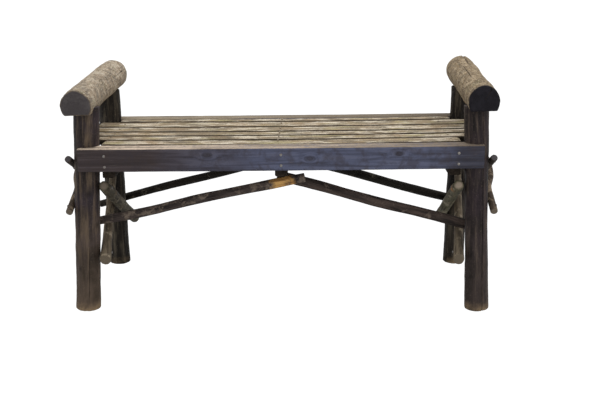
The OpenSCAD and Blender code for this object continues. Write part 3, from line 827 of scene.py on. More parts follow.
@dataclass(frozen=True)
class SlatFinish:
    """Grey-tan weathered slat with pale and yellow-green lichen, darkened along its long edges by painted
    shade and grime, with painted shade on its sides.
    """

    name: str = "weathered slat"
    tan: Colour = (0.36, 0.268, 0.168)
    grey: Colour = (0.24, 0.198, 0.140)
    dark: Colour = (0.045, 0.032, 0.019)
    crust: Colour = (0.74, 0.66, 0.53)
    moss: Colour = (0.40, 0.350, 0.165)
    # edge_shade_and_dirt: near-black for the long edges, partly real grime and partly painted shade from the
    # gaps
    edge_shade_and_dirt: Colour = (0.026, 0.018, 0.011)
    # side: painted shade for the faces that look into the gaps
    side: Colour = (0.024, 0.018, 0.012)

    def dress(self, effects: SharedEffects) -> bpy.types.Material:
        """Builds the material.

        Args:
            effects: the shared shader groups.

        Returns:
            The material.
        """
        material, board, shader = start_material(self.name, 0.85, 0.15)
        at = grain_place(board)
        grain = effects.place(board, effects.grain, {"Vector": at, "Streak Scale": 120.0,
                                                     "Fibre Scale": 520.0, "Stretch": 0.05})
        cloud = board.noise(at, 13.0, 5.0, 0.6, 0.5)
        colour = board.blend(board.ramp(cloud, 0.40, 0.60), self.tan, self.grey)
        colour = board.blend(board.ramp(grain.outputs["Streaks"], 0.47, 0.68, 0.0, 0.85), colour, self.dark)
        colour = board.blend(board.ramp(grain.outputs["Fibres"], 0.56, 0.74, 0.0, 0.5), colour, self.dark)
        drawn = board.vector("MULTIPLY", at, (1.0, 1.0, 0.22))
        crust = effects.place(board, effects.lichen, {"Vector": drawn, "Scale": 75.0, "Cover": 0.50})
        colour = board.blend(board.math("MULTIPLY", crust.outputs["Mask"], 0.8), colour, self.crust)
        moss = effects.place(board, effects.lichen, {"Vector": board.vector("ADD", drawn, (0.3, 0.2, 0.9)),
                                                     "Scale": 50.0, "Cover": 0.44})
        colour = board.blend(board.math("MULTIPLY", moss.outputs["Mask"], 0.6), colour, self.moss)
        grit = board.ramp(board.noise(at, 300.0, 2.0, 0.75), 0.54, 0.66, 0.0, 0.7)
        colour = board.blend(grit, colour, self.dark)
        # Painted shade and grime: the top darkens near the long edges, where the gaps between slats are;
        # partly grime, partly painted shade.
        edge_shade_and_dirt = board.math("MULTIPLY_ADD", board.noise(drawn, 160.0, 3.0, 0.7), 0.8, mark(board, "rim"))
        colour = board.blend(board.ramp(edge_shade_and_dirt, 0.66, 0.98, 0.0, 0.95), colour, self.edge_shade_and_dirt)
        # Painted shade: every face but the top is laid almost black, as the shade in the gaps.
        side = board.ramp(mark(board, "top_face"), 0.0, 1.0, 0.95, 0.0)
        colour = board.blend(side, colour, self.side)
        board.tree.links.new(colour, shader.inputs["Base Color"])
        relief = board.math("MULTIPLY_ADD", crust.outputs["Mask"], 0.3, grain.outputs["Height"])
        bump = board.add("ShaderNodeBump", {"Strength": 0.7, "Distance": 0.0012, "Height": relief})
        board.tree.links.new(bump.outputs[0], shader.inputs["Normal"])
        rough = board.ramp(grain.outputs["Streaks"], 0.3, 0.7, 0.78, 0.92)
        board.tree.links.new(rough, shader.inputs["Roughness"])
        return material


@dataclass(frozen=True)
class StickFinish:
    """Bark, peeled wood and moss on a cut stick."""

    name: str
    bark: Colour = (0.060, 0.044, 0.032)
    dark: Colour = (0.020, 0.015, 0.012)
    peeled: Colour = (0.17, 0.125, 0.085)
    moss: Colour = (0.10, 0.105, 0.045)
    bare: Colour = (0.85, 0.50, 0.17)
    bare_dark: Colour = (0.34, 0.16, 0.05)
    end: Colour = (0.20, 0.165, 0.12)
    knot: Colour = (0.15, 0.085, 0.040)
    peel_cover: float = 0.45
    moss_cover: float = 0.25
    bare_from: float = 2.0
    bare_to: float = 3.0

    def dress(self, effects: SharedEffects) -> bpy.types.Material:
        """Builds the material.

        Args:
            effects: the shared shader groups.

        Returns:
            The material.
        """
        material, board, shader = start_material(self.name, 0.75, 0.16)
        at = grain_place(board)
        grain = effects.place(board, effects.grain, {"Vector": at, "Streak Scale": 130.0,
                                                     "Fibre Scale": 560.0, "Stretch": 0.09})
        cloud = board.noise(at, 24.0, 5.0, 0.65, 0.5)
        colour = board.blend(board.ramp(grain.outputs["Streaks"], 0.40, 0.66), self.bark, self.dark)
        peel = effects.place(board, effects.lichen, {"Vector": at, "Scale": 32.0, "Cover": self.peel_cover})
        colour = board.blend(board.math("MULTIPLY", peel.outputs["Mask"], 0.8), colour, self.peeled)
        moss = effects.place(board, effects.lichen, {"Vector": board.vector("ADD", at, (0.4, 0.1, 0.7)),
                                                     "Scale": 45.0, "Cover": self.moss_cover})
        colour = board.blend(board.math("MULTIPLY", moss.outputs["Mask"], 0.7), colour, self.moss)
        fibre = board.ramp(grain.outputs["Fibres"], 0.5, 0.72, 0.0, 0.6)
        colour = board.blend(fibre, colour, self.dark)
        along = board.math("MULTIPLY_ADD", cloud, 0.10, board.math("SUBTRACT", mark(board, "share"), 0.05))
        patch = board.math("MULTIPLY", board.ramp(along, self.bare_from, self.bare_from + 0.02),
                           board.ramp(along, self.bare_to, self.bare_to - 0.02))
        bare = board.blend(board.ramp(grain.outputs["Streaks"], 0.38, 0.65), self.bare, self.bare_dark)
        colour = board.blend(board.math("MULTIPLY", patch, board.ramp(cloud, 0.30, 0.42)), colour, bare)
        colour = board.blend(board.math("MULTIPLY", mark(board, "knot"), 0.85), colour, self.knot)
        rings = effects.place(board, effects.end_grain, {"Vector": at, "Ring Spacing": 0.0022})
        face = board.blend(board.ramp(rings.outputs["Rings"], 0.2, 0.9, 0.0, 0.45), self.end, self.bark)
        colour = board.blend(board.ramp(mark(board, "end_face"), 0.35, 0.75), colour, face)
        board.tree.links.new(colour, shader.inputs["Base Color"])
        rough = board.ramp(cloud, 0.35, 0.65, 0.62, 0.86)
        board.tree.links.new(rough, shader.inputs["Roughness"])
        relief = board.math("MULTIPLY_ADD", peel.outputs["Mask"], -0.5, grain.outputs["Height"])
        bump = board.add("ShaderNodeBump", {"Strength": 0.7, "Distance": 0.0012, "Height": relief})
        board.tree.links.new(bump.outputs[0], shader.inputs["Normal"])
        return material


@dataclass(frozen=True)
class BearerFinish:
    """Sawn timber under the seat, laid near-black as painted shade."""

    name: str = "bearer painted shade"
    # base and light: near-black tones, painted shade under the seat; light also marks the rounded arrises
    base: Colour = (0.020, 0.015, 0.012)
    light: Colour = (0.050, 0.038, 0.028)

    def dress(self, effects: SharedEffects) -> bpy.types.Material:
        """Builds the material.

        Args:
            effects: the shared shader groups.

        Returns:
            The material.
        """
        material, board, shader = start_material(self.name, 0.8, 0.1)
        at = grain_place(board)
        grain = effects.place(board, effects.grain, {"Vector": at, "Streak Scale": 90.0,
                                                     "Fibre Scale": 420.0, "Stretch": 0.05})
        colour = board.blend(board.ramp(grain.outputs["Streaks"], 0.36, 0.64), self.light, self.base)
        colour = board.blend(board.ramp(mark(board, "wear"), 0.4, 1.0, 0.0, 0.4), colour, self.light)
        board.tree.links.new(colour, shader.inputs["Base Color"])
        bump = board.add("ShaderNodeBump", {"Strength": 0.6, "Distance": 0.0012,
                                            "Height": grain.outputs["Height"]})
        board.tree.links.new(bump.outputs[0], shader.inputs["Normal"])
        return material


@dataclass(frozen=True)
class NailFinish:
    """Dull zinc nail head with spots of rust."""

    name: str = "dull nail"
    metal: Colour = (0.30, 0.29, 0.28)
    rust: Colour = (0.12, 0.055, 0.025)

    def dress(self, effects: SharedEffects) -> bpy.types.Material:
        """Builds the material.

        Args:
            effects: the shared shader groups, not used.

        Returns:
            The material.
        """
        material, board, shader = start_material(self.name, 0.45)
        spot = board.add("ShaderNodeTexCoord").outputs["Object"]
        stain = board.ramp(board.noise(spot, 260.0, 3.0, 0.7), 0.48, 0.62)
        colour = board.blend(board.math("MULTIPLY", stain, 0.7), self.metal, self.rust)
        board.tree.links.new(colour, shader.inputs["Base Color"])
        board.tree.links.new(board.ramp(stain, 0.0, 1.0, 0.75, 0.1), shader.inputs["Metallic"])
        board.tree.links.new(board.ramp(stain, 0.0, 1.0, 0.38, 0.8), shader.inputs["Roughness"])
        return material


# ---------------------------------------------------------------- boards and nails from node trees


class NodeTool:
    """A geometry node tree with named inputs that makes plain meshes."""

    def __init__(self, name: str, inputs: list[tuple]) -> None:
        """Starts the tree.

        Args:
            name: the tree's name.
            inputs: (name, socket type, default) rows that follow the geometry.
        """
        rows = [("Geometry", "NodeSocketGeometry", None), *inputs]
        outputs = [("Geometry", "NodeSocketGeometry")]
        self.board, self.given, self.leave = group_tree(name, "GeometryNodeTree", rows, outputs)
        self.tree = self.board.tree

    def run(self, name: str, start: bpy.types.Mesh, values: dict[str, Value]) -> bpy.types.Object:
        """Runs the tree once and keeps the result as a plain mesh.

        Args:
            name: the new object's name.
            start: the mesh that the tree starts from.
            values: the inputs' values by name.

        Returns:
            The new object, at the origin, linked to the scene.
        """
        holder = bpy.data.objects.new(name + "_start", start)
        bpy.context.scene.collection.objects.link(holder)
        modifier = holder.modifiers.new("made", "NODES")
        modifier.node_group = self.tree
        for item in self.tree.interface.items_tree:
            if item.in_out == "INPUT" and item.name in values:
                modifier[item.identifier] = values[item.name]
        graph = bpy.context.evaluated_depsgraph_get()
        graph.update()
        made = bpy.data.meshes.new_from_object(holder.evaluated_get(graph))
        made.name = name
        holder.modifiers.remove(modifier)
        bpy.data.objects.remove(holder)
        piece = bpy.data.objects.new(name, made)
        bpy.context.scene.collection.objects.link(piece)
        return piece


class BoardTool(NodeTool):
    """Makes a worn, sagging plank with soft arrises and raised grain."""

    def __init__(self) -> None:
        """Builds the tree."""
        number, vector = "NodeSocketFloat", "NodeSocketVector"
        super().__init__("worn board", [
            ("Size", vector, (1.0, 0.1, 0.02)), ("Cells Long", "NodeSocketInt", 120),
            ("Cells Wide", "NodeSocketInt", 16),
            ("Cells Thick", "NodeSocketInt", 8), ("Arris", number, 0.003), ("Wander", number, 0.001),
            ("Relief", number, 0.0003), ("Sag", number, 0.0), ("Seed", number, 0.0),
            ("Centre", vector, (0.0, 0.0, 0.0)),
            ("Turn", "NodeSocketRotation", None), ("Material", "NodeSocketMaterial", None),
        ])
        board, given = self.board, self.given
        add, math_, vec = board.add, board.math, board.vector
        size = given["Size"]
        cube = add("GeometryNodeMeshCube", {"Size": size, "Vertices X": given["Cells Long"],
                                            "Vertices Y": given["Cells Wide"],
                                            "Vertices Z": given["Cells Thick"]})
        at = add("GeometryNodeInputPosition").outputs[0]
        half = vec("SCALE", size)
        half.node.inputs["Scale"].default_value = 0.5
        seeded = add("ShaderNodeCombineXYZ", {0: math_("MULTIPLY", given["Seed"], 3.1),
                                              1: math_("MULTIPLY", given["Seed"], 1.7),
                                              2: given["Seed"]}).outputs[0]
        moved = vec("ADD", at, seeded)
        nibble = board.noise(moved, 26.0, 3.0, 0.6)
        arris = math_("MULTIPLY", given["Arris"], board.ramp(nibble, 0.3, 0.7, 0.55, 1.6))
        arris3 = add("ShaderNodeCombineXYZ", {0: arris, 1: arris, 2: arris}).outputs[0]
        inner = vec("SUBTRACT", half, arris3)
        low = vec("SCALE", inner)
        low.node.inputs["Scale"].default_value = -1.0
        held = vec("MAXIMUM", vec("MINIMUM", at, inner), low)
        out = vec("SUBTRACT", at, held)
        reach = add("ShaderNodeVectorMath", {0: out}, operation="LENGTH").outputs["Value"]
        direction = vec("NORMALIZE", out)
        arm = add("ShaderNodeVectorMath", {0: direction, "Scale": arris}, operation="SCALE").outputs[0]
        rounded = vec("ADD", held, arm)
        wear = board.ramp(math_("SUBTRACT", reach, arris), 0.0, 0.0012)
        stretch = vec("MULTIPLY", moved, (0.12, 1.0, 1.0))
        ridges = math_("SUBTRACT", board.noise(stretch, 170.0, 3.0, 0.65), 0.5)
        lift = math_("MULTIPLY", given["Relief"], math_("MULTIPLY", ridges, 2.0))
        raised = add("ShaderNodeVectorMath", {0: direction, "Scale": lift}, operation="SCALE").outputs[0]
        parts = add("ShaderNodeSeparateXYZ", {0: at}).outputs
        along = add("ShaderNodeCombineXYZ", {0: parts[0], 1: given["Seed"], 2: 0.0}).outputs[0]
        drift = math_("SUBTRACT", board.noise(along, 4.0, 3.0, 0.6), 0.5)
        drift2 = math_("SUBTRACT", board.noise(vec("ADD", along, (5.0, 9.0, 2.0)), 6.0, 3.0, 0.6), 0.5)
        whole = add("ShaderNodeSeparateXYZ", {0: size}).outputs
        share = math_("DIVIDE", math_("MULTIPLY", parts[0], 2.0), whole[0])
        drop = math_("MULTIPLY", given["Sag"], math_("SUBTRACT", math_("MULTIPLY", share, share), 1.0))
        bend = add("ShaderNodeCombineXYZ", {
            0: 0.0, 1: math_("MULTIPLY", drift, given["Wander"]),
            2: math_("ADD", drop, math_("MULTIPLY", drift2, math_("MULTIPLY", given["Wander"],
                                                                  0.5)))}).outputs[0]
        shaped = vec("ADD", vec("ADD", rounded, raised), bend)
        turned = add("FunctionNodeRotateVector", {"Vector": shaped, "Rotation": given["Turn"]}).outputs[0]
        placed = vec("ADD", turned, given["Centre"])
        grain = add("ShaderNodeCombineXYZ", {0: parts[1], 1: parts[2],
                                             2: math_("MULTIPLY_ADD", given["Seed"], 2.7, parts[0])})
        half_parts = add("ShaderNodeSeparateXYZ", {0: half}).outputs
        tip = board.ramp(math_("SUBTRACT", math_("ABSOLUTE", parts[0]), half_parts[0]), -0.0015, -0.0001)
        # top: nearness to the top face; the slats paint shade on every other face with it
        top = board.ramp(math_("SUBTRACT", parts[2], half_parts[2]), -0.0030, -0.0002)
        shape = cube.outputs["Mesh"]
        shape = self._store(shape, "grain_at", "FLOAT_VECTOR", grain.outputs[0])
        # rim: nearness to the long edges, which the slats use for painted shade and grime
        rim = board.ramp(math_("SUBTRACT", math_("ABSOLUTE", parts[1]), half_parts[1]), -0.0065, -0.0010)
        for label, value in (("wear", wear), ("end_face", tip), ("top_face", top), ("rim", rim)):
            shape = self._store(shape, label, "FLOAT", value)
        shape = add("GeometryNodeSetPosition", {"Geometry": shape, "Position": placed}).outputs[0]
        shape = add("GeometryNodeSetShadeSmooth", {"Geometry": shape, "Shade Smooth": True}).outputs[0]
        shape = add("GeometryNodeRealizeInstances", {"Geometry": shape}).outputs[0]
        shape = add("GeometryNodeSetMaterial", {"Geometry": shape, "Material": given["Material"]}).outputs[0]
        board.tree.links.new(shape, self.leave.inputs["Geometry"])

    def _store(self, shape: Socket, name: str, kind: str, value: Socket) -> Socket:
        """Keeps a value on the points under a name."""
        inputs = {"Geometry": shape, "Name": name, "Value": value}
        return self.board.add("GeometryNodeStoreNamedAttribute", inputs, data_type=kind,
                              domain="POINT").outputs[0]


class NailTool(NodeTool):
    """Drives one nail at each point of a mesh, along the point's own direction."""

    def __init__(self) -> None:
        """Builds the tree."""
        number = "NodeSocketFloat"
        super().__init__("driven nails", [
            ("Head", number, 0.0035), ("Head Thickness", number, 0.0012), ("Shank", number, 0.0016),
            ("Depth", number, 0.02),
            ("Uneven", number, 0.12), ("Seed", "NodeSocketInt", 3), ("Material", "NodeSocketMaterial", None),
        ])
        board, given = self.board, self.given
        add, math_ = board.add, board.math
        rim = math_("MULTIPLY", given["Head Thickness"], 0.55)
        head = add("GeometryNodeMeshCylinder", {"Vertices": 14, "Side Segments": 1, "Fill Segments": 1,
                                                "Radius": given["Head"], "Depth": rim},
                                                fill_type="NGON").outputs["Mesh"]
        crown = add("GeometryNodeMeshCone", {
            "Vertices": 14, "Side Segments": 2, "Fill Segments": 1,
            "Radius Top": math_("MULTIPLY", given["Head"], 0.55),
            "Radius Bottom": math_("MULTIPLY", given["Head"], 0.98), "Depth": rim},
            fill_type="NGON").outputs["Mesh"]
        shank = add("GeometryNodeMeshCylinder", {"Vertices": 8, "Side Segments": 1, "Fill Segments": 1,
                                                 "Radius": given["Shank"], "Depth": given["Depth"]},
                                                 fill_type="NGON")
        head = self._raised(head, math_("MULTIPLY", rim, 0.5))
        crown = self._raised(crown, math_("MULTIPLY", rim, 0.98))
        shank = self._raised(shank.outputs["Mesh"], math_("MULTIPLY", given["Depth"], -0.5))
        nail = add("GeometryNodeJoinGeometry")
        for shape in (head, crown, shank):
            board.tree.links.new(shape, nail.inputs[0])
        drive = add("GeometryNodeInputNamedAttribute", {"Name": "drive"}, data_type="FLOAT_VECTOR").outputs[0]
        turn = add("FunctionNodeAlignRotationToVector", {"Vector": drive}, axis="Z").outputs[0]
        size = add("FunctionNodeRandomValue", {"Seed": given["Seed"]}, data_type="FLOAT")
        spread = given["Uneven"]
        low, high = math_("SUBTRACT", 1.0, spread), math_("ADD", 1.0, spread)
        board.tree.links.new(low, size.inputs[2])
        board.tree.links.new(high, size.inputs[3])
        scale = add("ShaderNodeCombineXYZ", {0: size.outputs[1], 1: size.outputs[1], 2: 1.0}).outputs[0]
        spots = add("GeometryNodeMeshToPoints", {"Mesh": given["Geometry"]}).outputs[0]
        placed = add("GeometryNodeInstanceOnPoints", {"Points": spots, "Instance": nail.outputs[0],
                                                      "Rotation": turn,
                                                      "Scale": scale}).outputs[0]
        real = add("GeometryNodeRealizeInstances", {"Geometry": placed}).outputs[0]
        real = add("GeometryNodeSetMaterial", {"Geometry": real, "Material": given["Material"]}).outputs[0]
        board.tree.links.new(real, self.leave.inputs["Geometry"])

    def _raised(self, shape: Socket, height: Socket) -> Socket:
        """Moves a shape up its own axis."""
        up = self.board.add("ShaderNodeCombineXYZ", {0: 0.0, 1: 0.0, 2: height}).outputs[0]
        return self.board.add("GeometryNodeTransform", {"Geometry": shape, "Translation": up}).outputs[0]


# ---------------------------------------------------------------- the bench's sub-assemblies


@dataclass(frozen=True)
class Workshop:
    """What every sub-assembly is made with."""

    boards: BoardTool
    nails: NailTool
    finishes: dict[str, bpy.types.Material]


def rod_axis(node: str, radius: float, signs: tuple[float, float, float]) -> tuple[Vector, Vector]:
    """Works out a round rod's axis from its box.

    Args:
        node: the CAD node.
        radius: the rod's radius.
        signs: the direction of travel along each axis.

    Returns:
        The two ends of the axis.
    """
    low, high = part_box(node)
    size, centre = high - low, (low + high) / 2.0
    along = size.normalized()
    reach = size.copy()
    for _ in range(40):
        reach = Vector([max(size[k] - 2.0 * radius * math.sqrt(max(0.0, 1.0 - along[k] ** 2)),
                            1e-5) for k in range(3)])
        along = reach.normalized()
    half = Vector([reach[k] * signs[k] / 2.0 for k in range(3)])
    return centre - half, centre + half


def settle(piece: bpy.types.Object, finish: bpy.types.Material | None, slot: FinishName,
           *nodes: str) -> bpy.types.Object:
    """Dresses a piece and makes it stand for its CAD nodes.

    Args:
        piece: the finished mesh object.
        finish: its material, or None if it has one.
        slot: the record's material slot, not used.
        *nodes: the CAD nodes it stands for.

    Returns:
        The piece.
    """
    if finish is not None:
        piece.data.materials.clear()
        piece.data.materials.append(finish)
    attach(piece, BODY)
    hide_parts(*nodes)
    LOG.info("%s: %d faces", piece.name, len(piece.data.polygons))
    return piece


def held_inside(piece: bpy.types.Object, low: Vector, high: Vector) -> None:
    """Presses a mesh's few stray points back inside a box."""
    count = len(piece.data.vertices)
    points = np.empty(count * 3)
    piece.data.vertices.foreach_get("co", points)
    points = np.clip(points.reshape(-1, 3), np.array(low), np.array(high))
    piece.data.vertices.foreach_set("co", points.ravel())
    piece.data.update()


@dataclass(frozen=True)
class PostSize:
    """One post: how it stands and is shaped, and what marks it."""

    node: str
    seed: int
    finish: str
    foot: float
    head: float
    radii: tuple[float, ...]
    ridge: float = 0.0008
    ridge_count: float = 7.0
    lump: float = 0.0016
    checks: tuple[DryingCheck, ...] = ()
    knots: tuple[Knot, ...] = ()
    coped: float = 0.0


@dataclass(frozen=True)
class Posts:
    """The four upright log posts under the arm logs."""

    top: float = 0.5362
    rise: float = 0.0035
    posts: tuple[PostSize, ...] = (
        PostSize("post_front_left", 11, "post", 0.5235, 0.4925,
                 (0.0320, 0.0312, 0.0316, 0.0312, 0.0316, 0.0314), 0.0010, 7.0, 0.0016,
                 (DryingCheck(2.6, 0.18, 0.44, 0.0016, 0.004), DryingCheck(3.5, 0.02, 0.2, 0.0013, 0.003)),
                 (Knot(0.325, 3.4, 0.010, 0.0022), Knot(0.12, 2.7, 0.008, 0.0015),
                  Knot(0.24, 4.2, 0.009, 0.002)), 0.016),
        PostSize("post_front_right", 12, "post_right", 0.5200, 0.4965,
                 (0.0322, 0.0312, 0.0292, 0.0298, 0.0316, 0.0318), 0.0008, 8.0, 0.0014,
                 (DryingCheck(3.52, -1.0, 9.0, 0.0022, 0.009),),
                 (Knot(0.16, 2.6, 0.009, 0.002), Knot(0.41, 2.5, 0.010, 0.002)), 0.008),
        # The rear posts take a darker copy of the stain: painted shade for their place behind the seat.
        PostSize("post_rear_left", 13, "post_painted_shade", 0.5145, 0.5190,
                 (0.0312, 0.0300, 0.0298, 0.0304, 0.0322, 0.0326), 0.0011, 7.0, 0.0018,
                 (), (Knot(0.2, 3.4, 0.011, 0.0026),)),
        PostSize("post_rear_right", 14, "post_painted_shade", 0.5135, 0.5190,
                 (0.0306, 0.0300, 0.0300, 0.0302, 0.0304, 0.0300), 0.0011, 7.0, 0.0018,
                 (), (Knot(0.3, 3.0, 0.010, 0.0024),)),
    )

    def build(self, shop: Workshop) -> list[bpy.types.Object]:
        """Builds and dresses the posts.

        Args:
            shop: the tools and finishes.

        Returns:
            The posts.
        """
        made = []
        for size in self.posts:
            low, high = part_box(size.node)
            side = 1.0 if low.x > 0 else -1.0
            y = (low.y + high.y) / 2.0
            top = self.top + side * self.rise + size.coped
            line = [(side * size.foot, y, 0.0), (side * size.head, y, top)]
            timber = RoundTimber(
                size.node + "_log", line, list(size.radii), size.seed, up=(0.0, 1.0, 0.0), sides=96,
                step=0.005, lump=size.lump, ridge=size.ridge, ridge_count=size.ridge_count, twist=0.05,
                end_round=(0.0035, 0.002), checks=list(size.checks), knots=list(size.knots))
            piece = timber.build()
            held_inside(piece, Vector((-9.0, -9.0, 0.0)), Vector((9.0, 9.0, top)))
            made.append(settle(piece, shop.finishes[size.finish], FinishName.POST, size.node))
        return made


@dataclass(frozen=True)
class ArmLogSize:
    """One arm log: where its ends lie, its radii and its marks."""

    node: str
    seed: int
    finish: str
    front_x: float
    rear_x: float
    radii: tuple[float, ...]
    checks: tuple[DryingCheck, ...]
    knots: tuple[Knot, ...] = ()
    rear_round: float = 0.010


@dataclass(frozen=True)
class ArmLogs:
    """The two thick logs on top of the posts, flat underneath."""

    front_high: float = 0.0255
    rear_high: float = 0.0405
    jowl: float = 0.0022
    logs: tuple[ArmLogSize, ...] = (
        ArmLogSize("arm_log_left", 21, "log_left", 0.5060, 0.5140, (0.0388, 0.0390, 0.0392, 0.0402, 0.0412),
                   (DryingCheck(1.15, 0.33, 0.47, 0.0018, 0.005), DryingCheck(5.6, 0.05, 0.2, 0.0014, 0.004)),
                   (Knot(0.20, 0.7, 0.010, 0.0018), Knot(0.36, 5.9, 0.009, 0.0016))),
        ArmLogSize("arm_log_right", 22, "log_right", 0.5055, 0.5210, (0.0388, 0.0388, 0.0390, 0.0402, 0.0418),
                   (DryingCheck(0.52, -1.0, 0.30, 0.0034, 0.010),
                    DryingCheck(0.10, 0.31, 0.50, 0.0034, 0.010),
                    DryingCheck(5.9, 0.12, 0.34, 0.0016, 0.005)),
                   (Knot(0.13, 1.2, 0.008, 0.0018),)),
    )

    def build(self, shop: Workshop) -> list[bpy.types.Object]:
        """Builds and dresses the arm logs.

        Args:
            shop: the tools and finishes.

        Returns:
            The logs.
        """
        made = []
        for size in self.logs:
            low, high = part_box(size.node)
            side = 1.0 if low.x > 0 else -1.0
            line = [(side * size.front_x, low.y + 0.0022, low.z + self.front_high),
                    (side * size.rear_x, high.y - 0.0008, low.z + self.rear_high + 0.0010)]
            timber = RoundTimber(
                size.node + "_log", line, list(size.radii), size.seed, up=(0.0, 0.0, 1.0), sides=112,
                step=0.0045, lump=0.0022, ridge=0.0005, ridge_count=6.0, oval=0.008, twist=0.03,
                jowl=self.jowl, end_round=(0.0050, size.rear_round), checks=list(size.checks),
                knots=list(size.knots), flats=[DressedFlat(math.pi, self.front_high, self.rear_high)])
            piece = timber.build()
            made.append(settle(piece, shop.finishes[size.finish], FinishName.LOG, size.node))
        return made


class Lie(Enum):
    """Which way a board's length lies."""

    ALONG_SEAT = "x"
    FRONT_TO_BACK = "y"


@dataclass(frozen=True)
class BoardSize:
    """One flat board: its node, real section, wear and sag."""

    node: str
    seed: float
    finish: str
    slot: FinishName
    arris: float
    wander: float
    relief: float
    sag: float
    thick: float
    lengthwise: Lie = Lie.ALONG_SEAT


@dataclass(frozen=True)
class SeatFrame:
    """The two aprons, the three bearers and the six slats."""

    end_rise: float = 0.007
    rise_run: float = 1.038
    margin: float = 0.0006
    aprons: tuple[BoardSize, ...] = (
        BoardSize("apron_front", 1.3, "apron", FinishName.BOARD, 0.0026, 0.0022, 0.00035, 0.0012, 0.061),
        BoardSize("apron_rear", 2.6, "apron_rear", FinishName.BOARD, 0.0035, 0.0022, 0.00035, 0.0012, 0.061),
    )
    bearers: tuple[BoardSize, ...] = (
        BoardSize("bearer_left", 3.2, "bearer", FinishName.BEARER, 0.003, 0.001, 0.0003, 0.0, 0.074,
                  Lie.FRONT_TO_BACK),
        BoardSize("bearer_centre", 4.4, "bearer", FinishName.BEARER, 0.003, 0.001, 0.0003, 0.0, 0.074,
                  Lie.FRONT_TO_BACK),
        BoardSize("bearer_right", 5.1, "bearer", FinishName.BEARER, 0.003, 0.001, 0.0003, 0.0, 0.074,
                  Lie.FRONT_TO_BACK),
    )
    slats: tuple[BoardSize, ...] = tuple(
        BoardSize(f"slat_{k}", 6.0 + 1.37 * k, "slat", FinishName.SLAT, 0.0032, 0.0026, 0.0005, 0.003, 0.015)
        for k in range(1, 7)
    )

    def build(self, shop: Workshop) -> list[bpy.types.Object]:
        """Builds and dresses every board of the seat.

        Args:
            shop: the tools and finishes.

        Returns:
            The boards.
        """
        return [self._board(size, shop) for size in (*self.aprons, *self.bearers, *self.slats)]

    def _board(self, size: BoardSize, shop: Workshop) -> bpy.types.Object:
        """Makes one board inside its CAD node's box.

        Args:
            size: the board's sizes.
            shop: the tools and finishes.

        Returns:
            The board.
        """
        low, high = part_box(size.node)
        whole, centre = high - low, (low + high) / 2.0
        tilt = math.atan(self.end_rise / self.rise_run)
        if size.lengthwise is Lie.ALONG_SEAT:
            long = (whole.x - size.thick * math.sin(tilt)) / math.cos(tilt)
            wide, turn = whole.y, Euler((0.0, -tilt, 0.0))
        else:
            long = whole.y
            wide = (whole.x - size.thick * math.sin(tilt)) / math.cos(tilt)
            turn = Euler((0.0, 0.0, math.pi / 2))
        long, wide, thick = long - 2 * self.margin, wide - 2 * self.margin, size.thick - self.margin
        start = bpy.data.meshes.new(size.node + "_start")
        return settle(shop.boards.run(size.node + "_board", start, {
            "Size": (long, wide, thick), "Cells Long": max(60, int(long / 0.0055)),
            "Cells Wide": max(10, int(wide / 0.003)),
            "Cells Thick": max(7, int(thick / 0.0026)), "Arris": size.arris, "Wander": size.wander,
            "Relief": size.relief,
            "Sag": size.sag, "Seed": size.seed, "Centre": tuple(centre), "Turn": tuple(turn),
            "Material": shop.finishes[size.finish],
        }), None, size.slot, size.node)


@dataclass(frozen=True)
class StickSize:
    """One natural stick: its rod, taper, bend and marks."""

    node: str
    seed: int
    finish: str
    radius: float
    signs: tuple[float, float, float]
    radii: tuple[float, ...]
    bow: tuple[tuple[float, float, float], ...] = ()
    ends: tuple[float, float] = (0.004, 0.004)
    slopes: tuple[float, float] = (0.0, 0.0)
    knots: tuple[Knot, ...] = ()
    lump: float = 0.0010
    ridge: float = 0.0004


def stick_timber(size: StickSize, start: Vector, stop: Vector,
                 flats: list[DressedFlat] | None = None) -> RoundTimber:
    """Describes a stick between two ends, bowed as its sizes say.

    Args:
        size: the stick's sizes.
        start: one end of its axis.
        stop: the other end.
        flats: flat sides, if any.

    Returns:
        The timber, ready to build.
    """
    count = len(size.bow) + 2
    line = [tuple(start)]
    for k, shift in enumerate(size.bow, 1):
        line.append(tuple(start.lerp(stop, k / (count - 1)) + Vector(shift)))
    line.append(tuple(stop))
    radii = [size.radius * share for share in size.radii]
    return RoundTimber(
        size.node + "_stick", line, radii, size.seed, sides=44, step=0.005, lump=size.lump, ridge=size.ridge,
        ridge_count=4.0, oval=0.03, twist=0.1, end_round=size.ends, cut_slope=size.slopes,
        knots=list(size.knots), flats=flats or [])


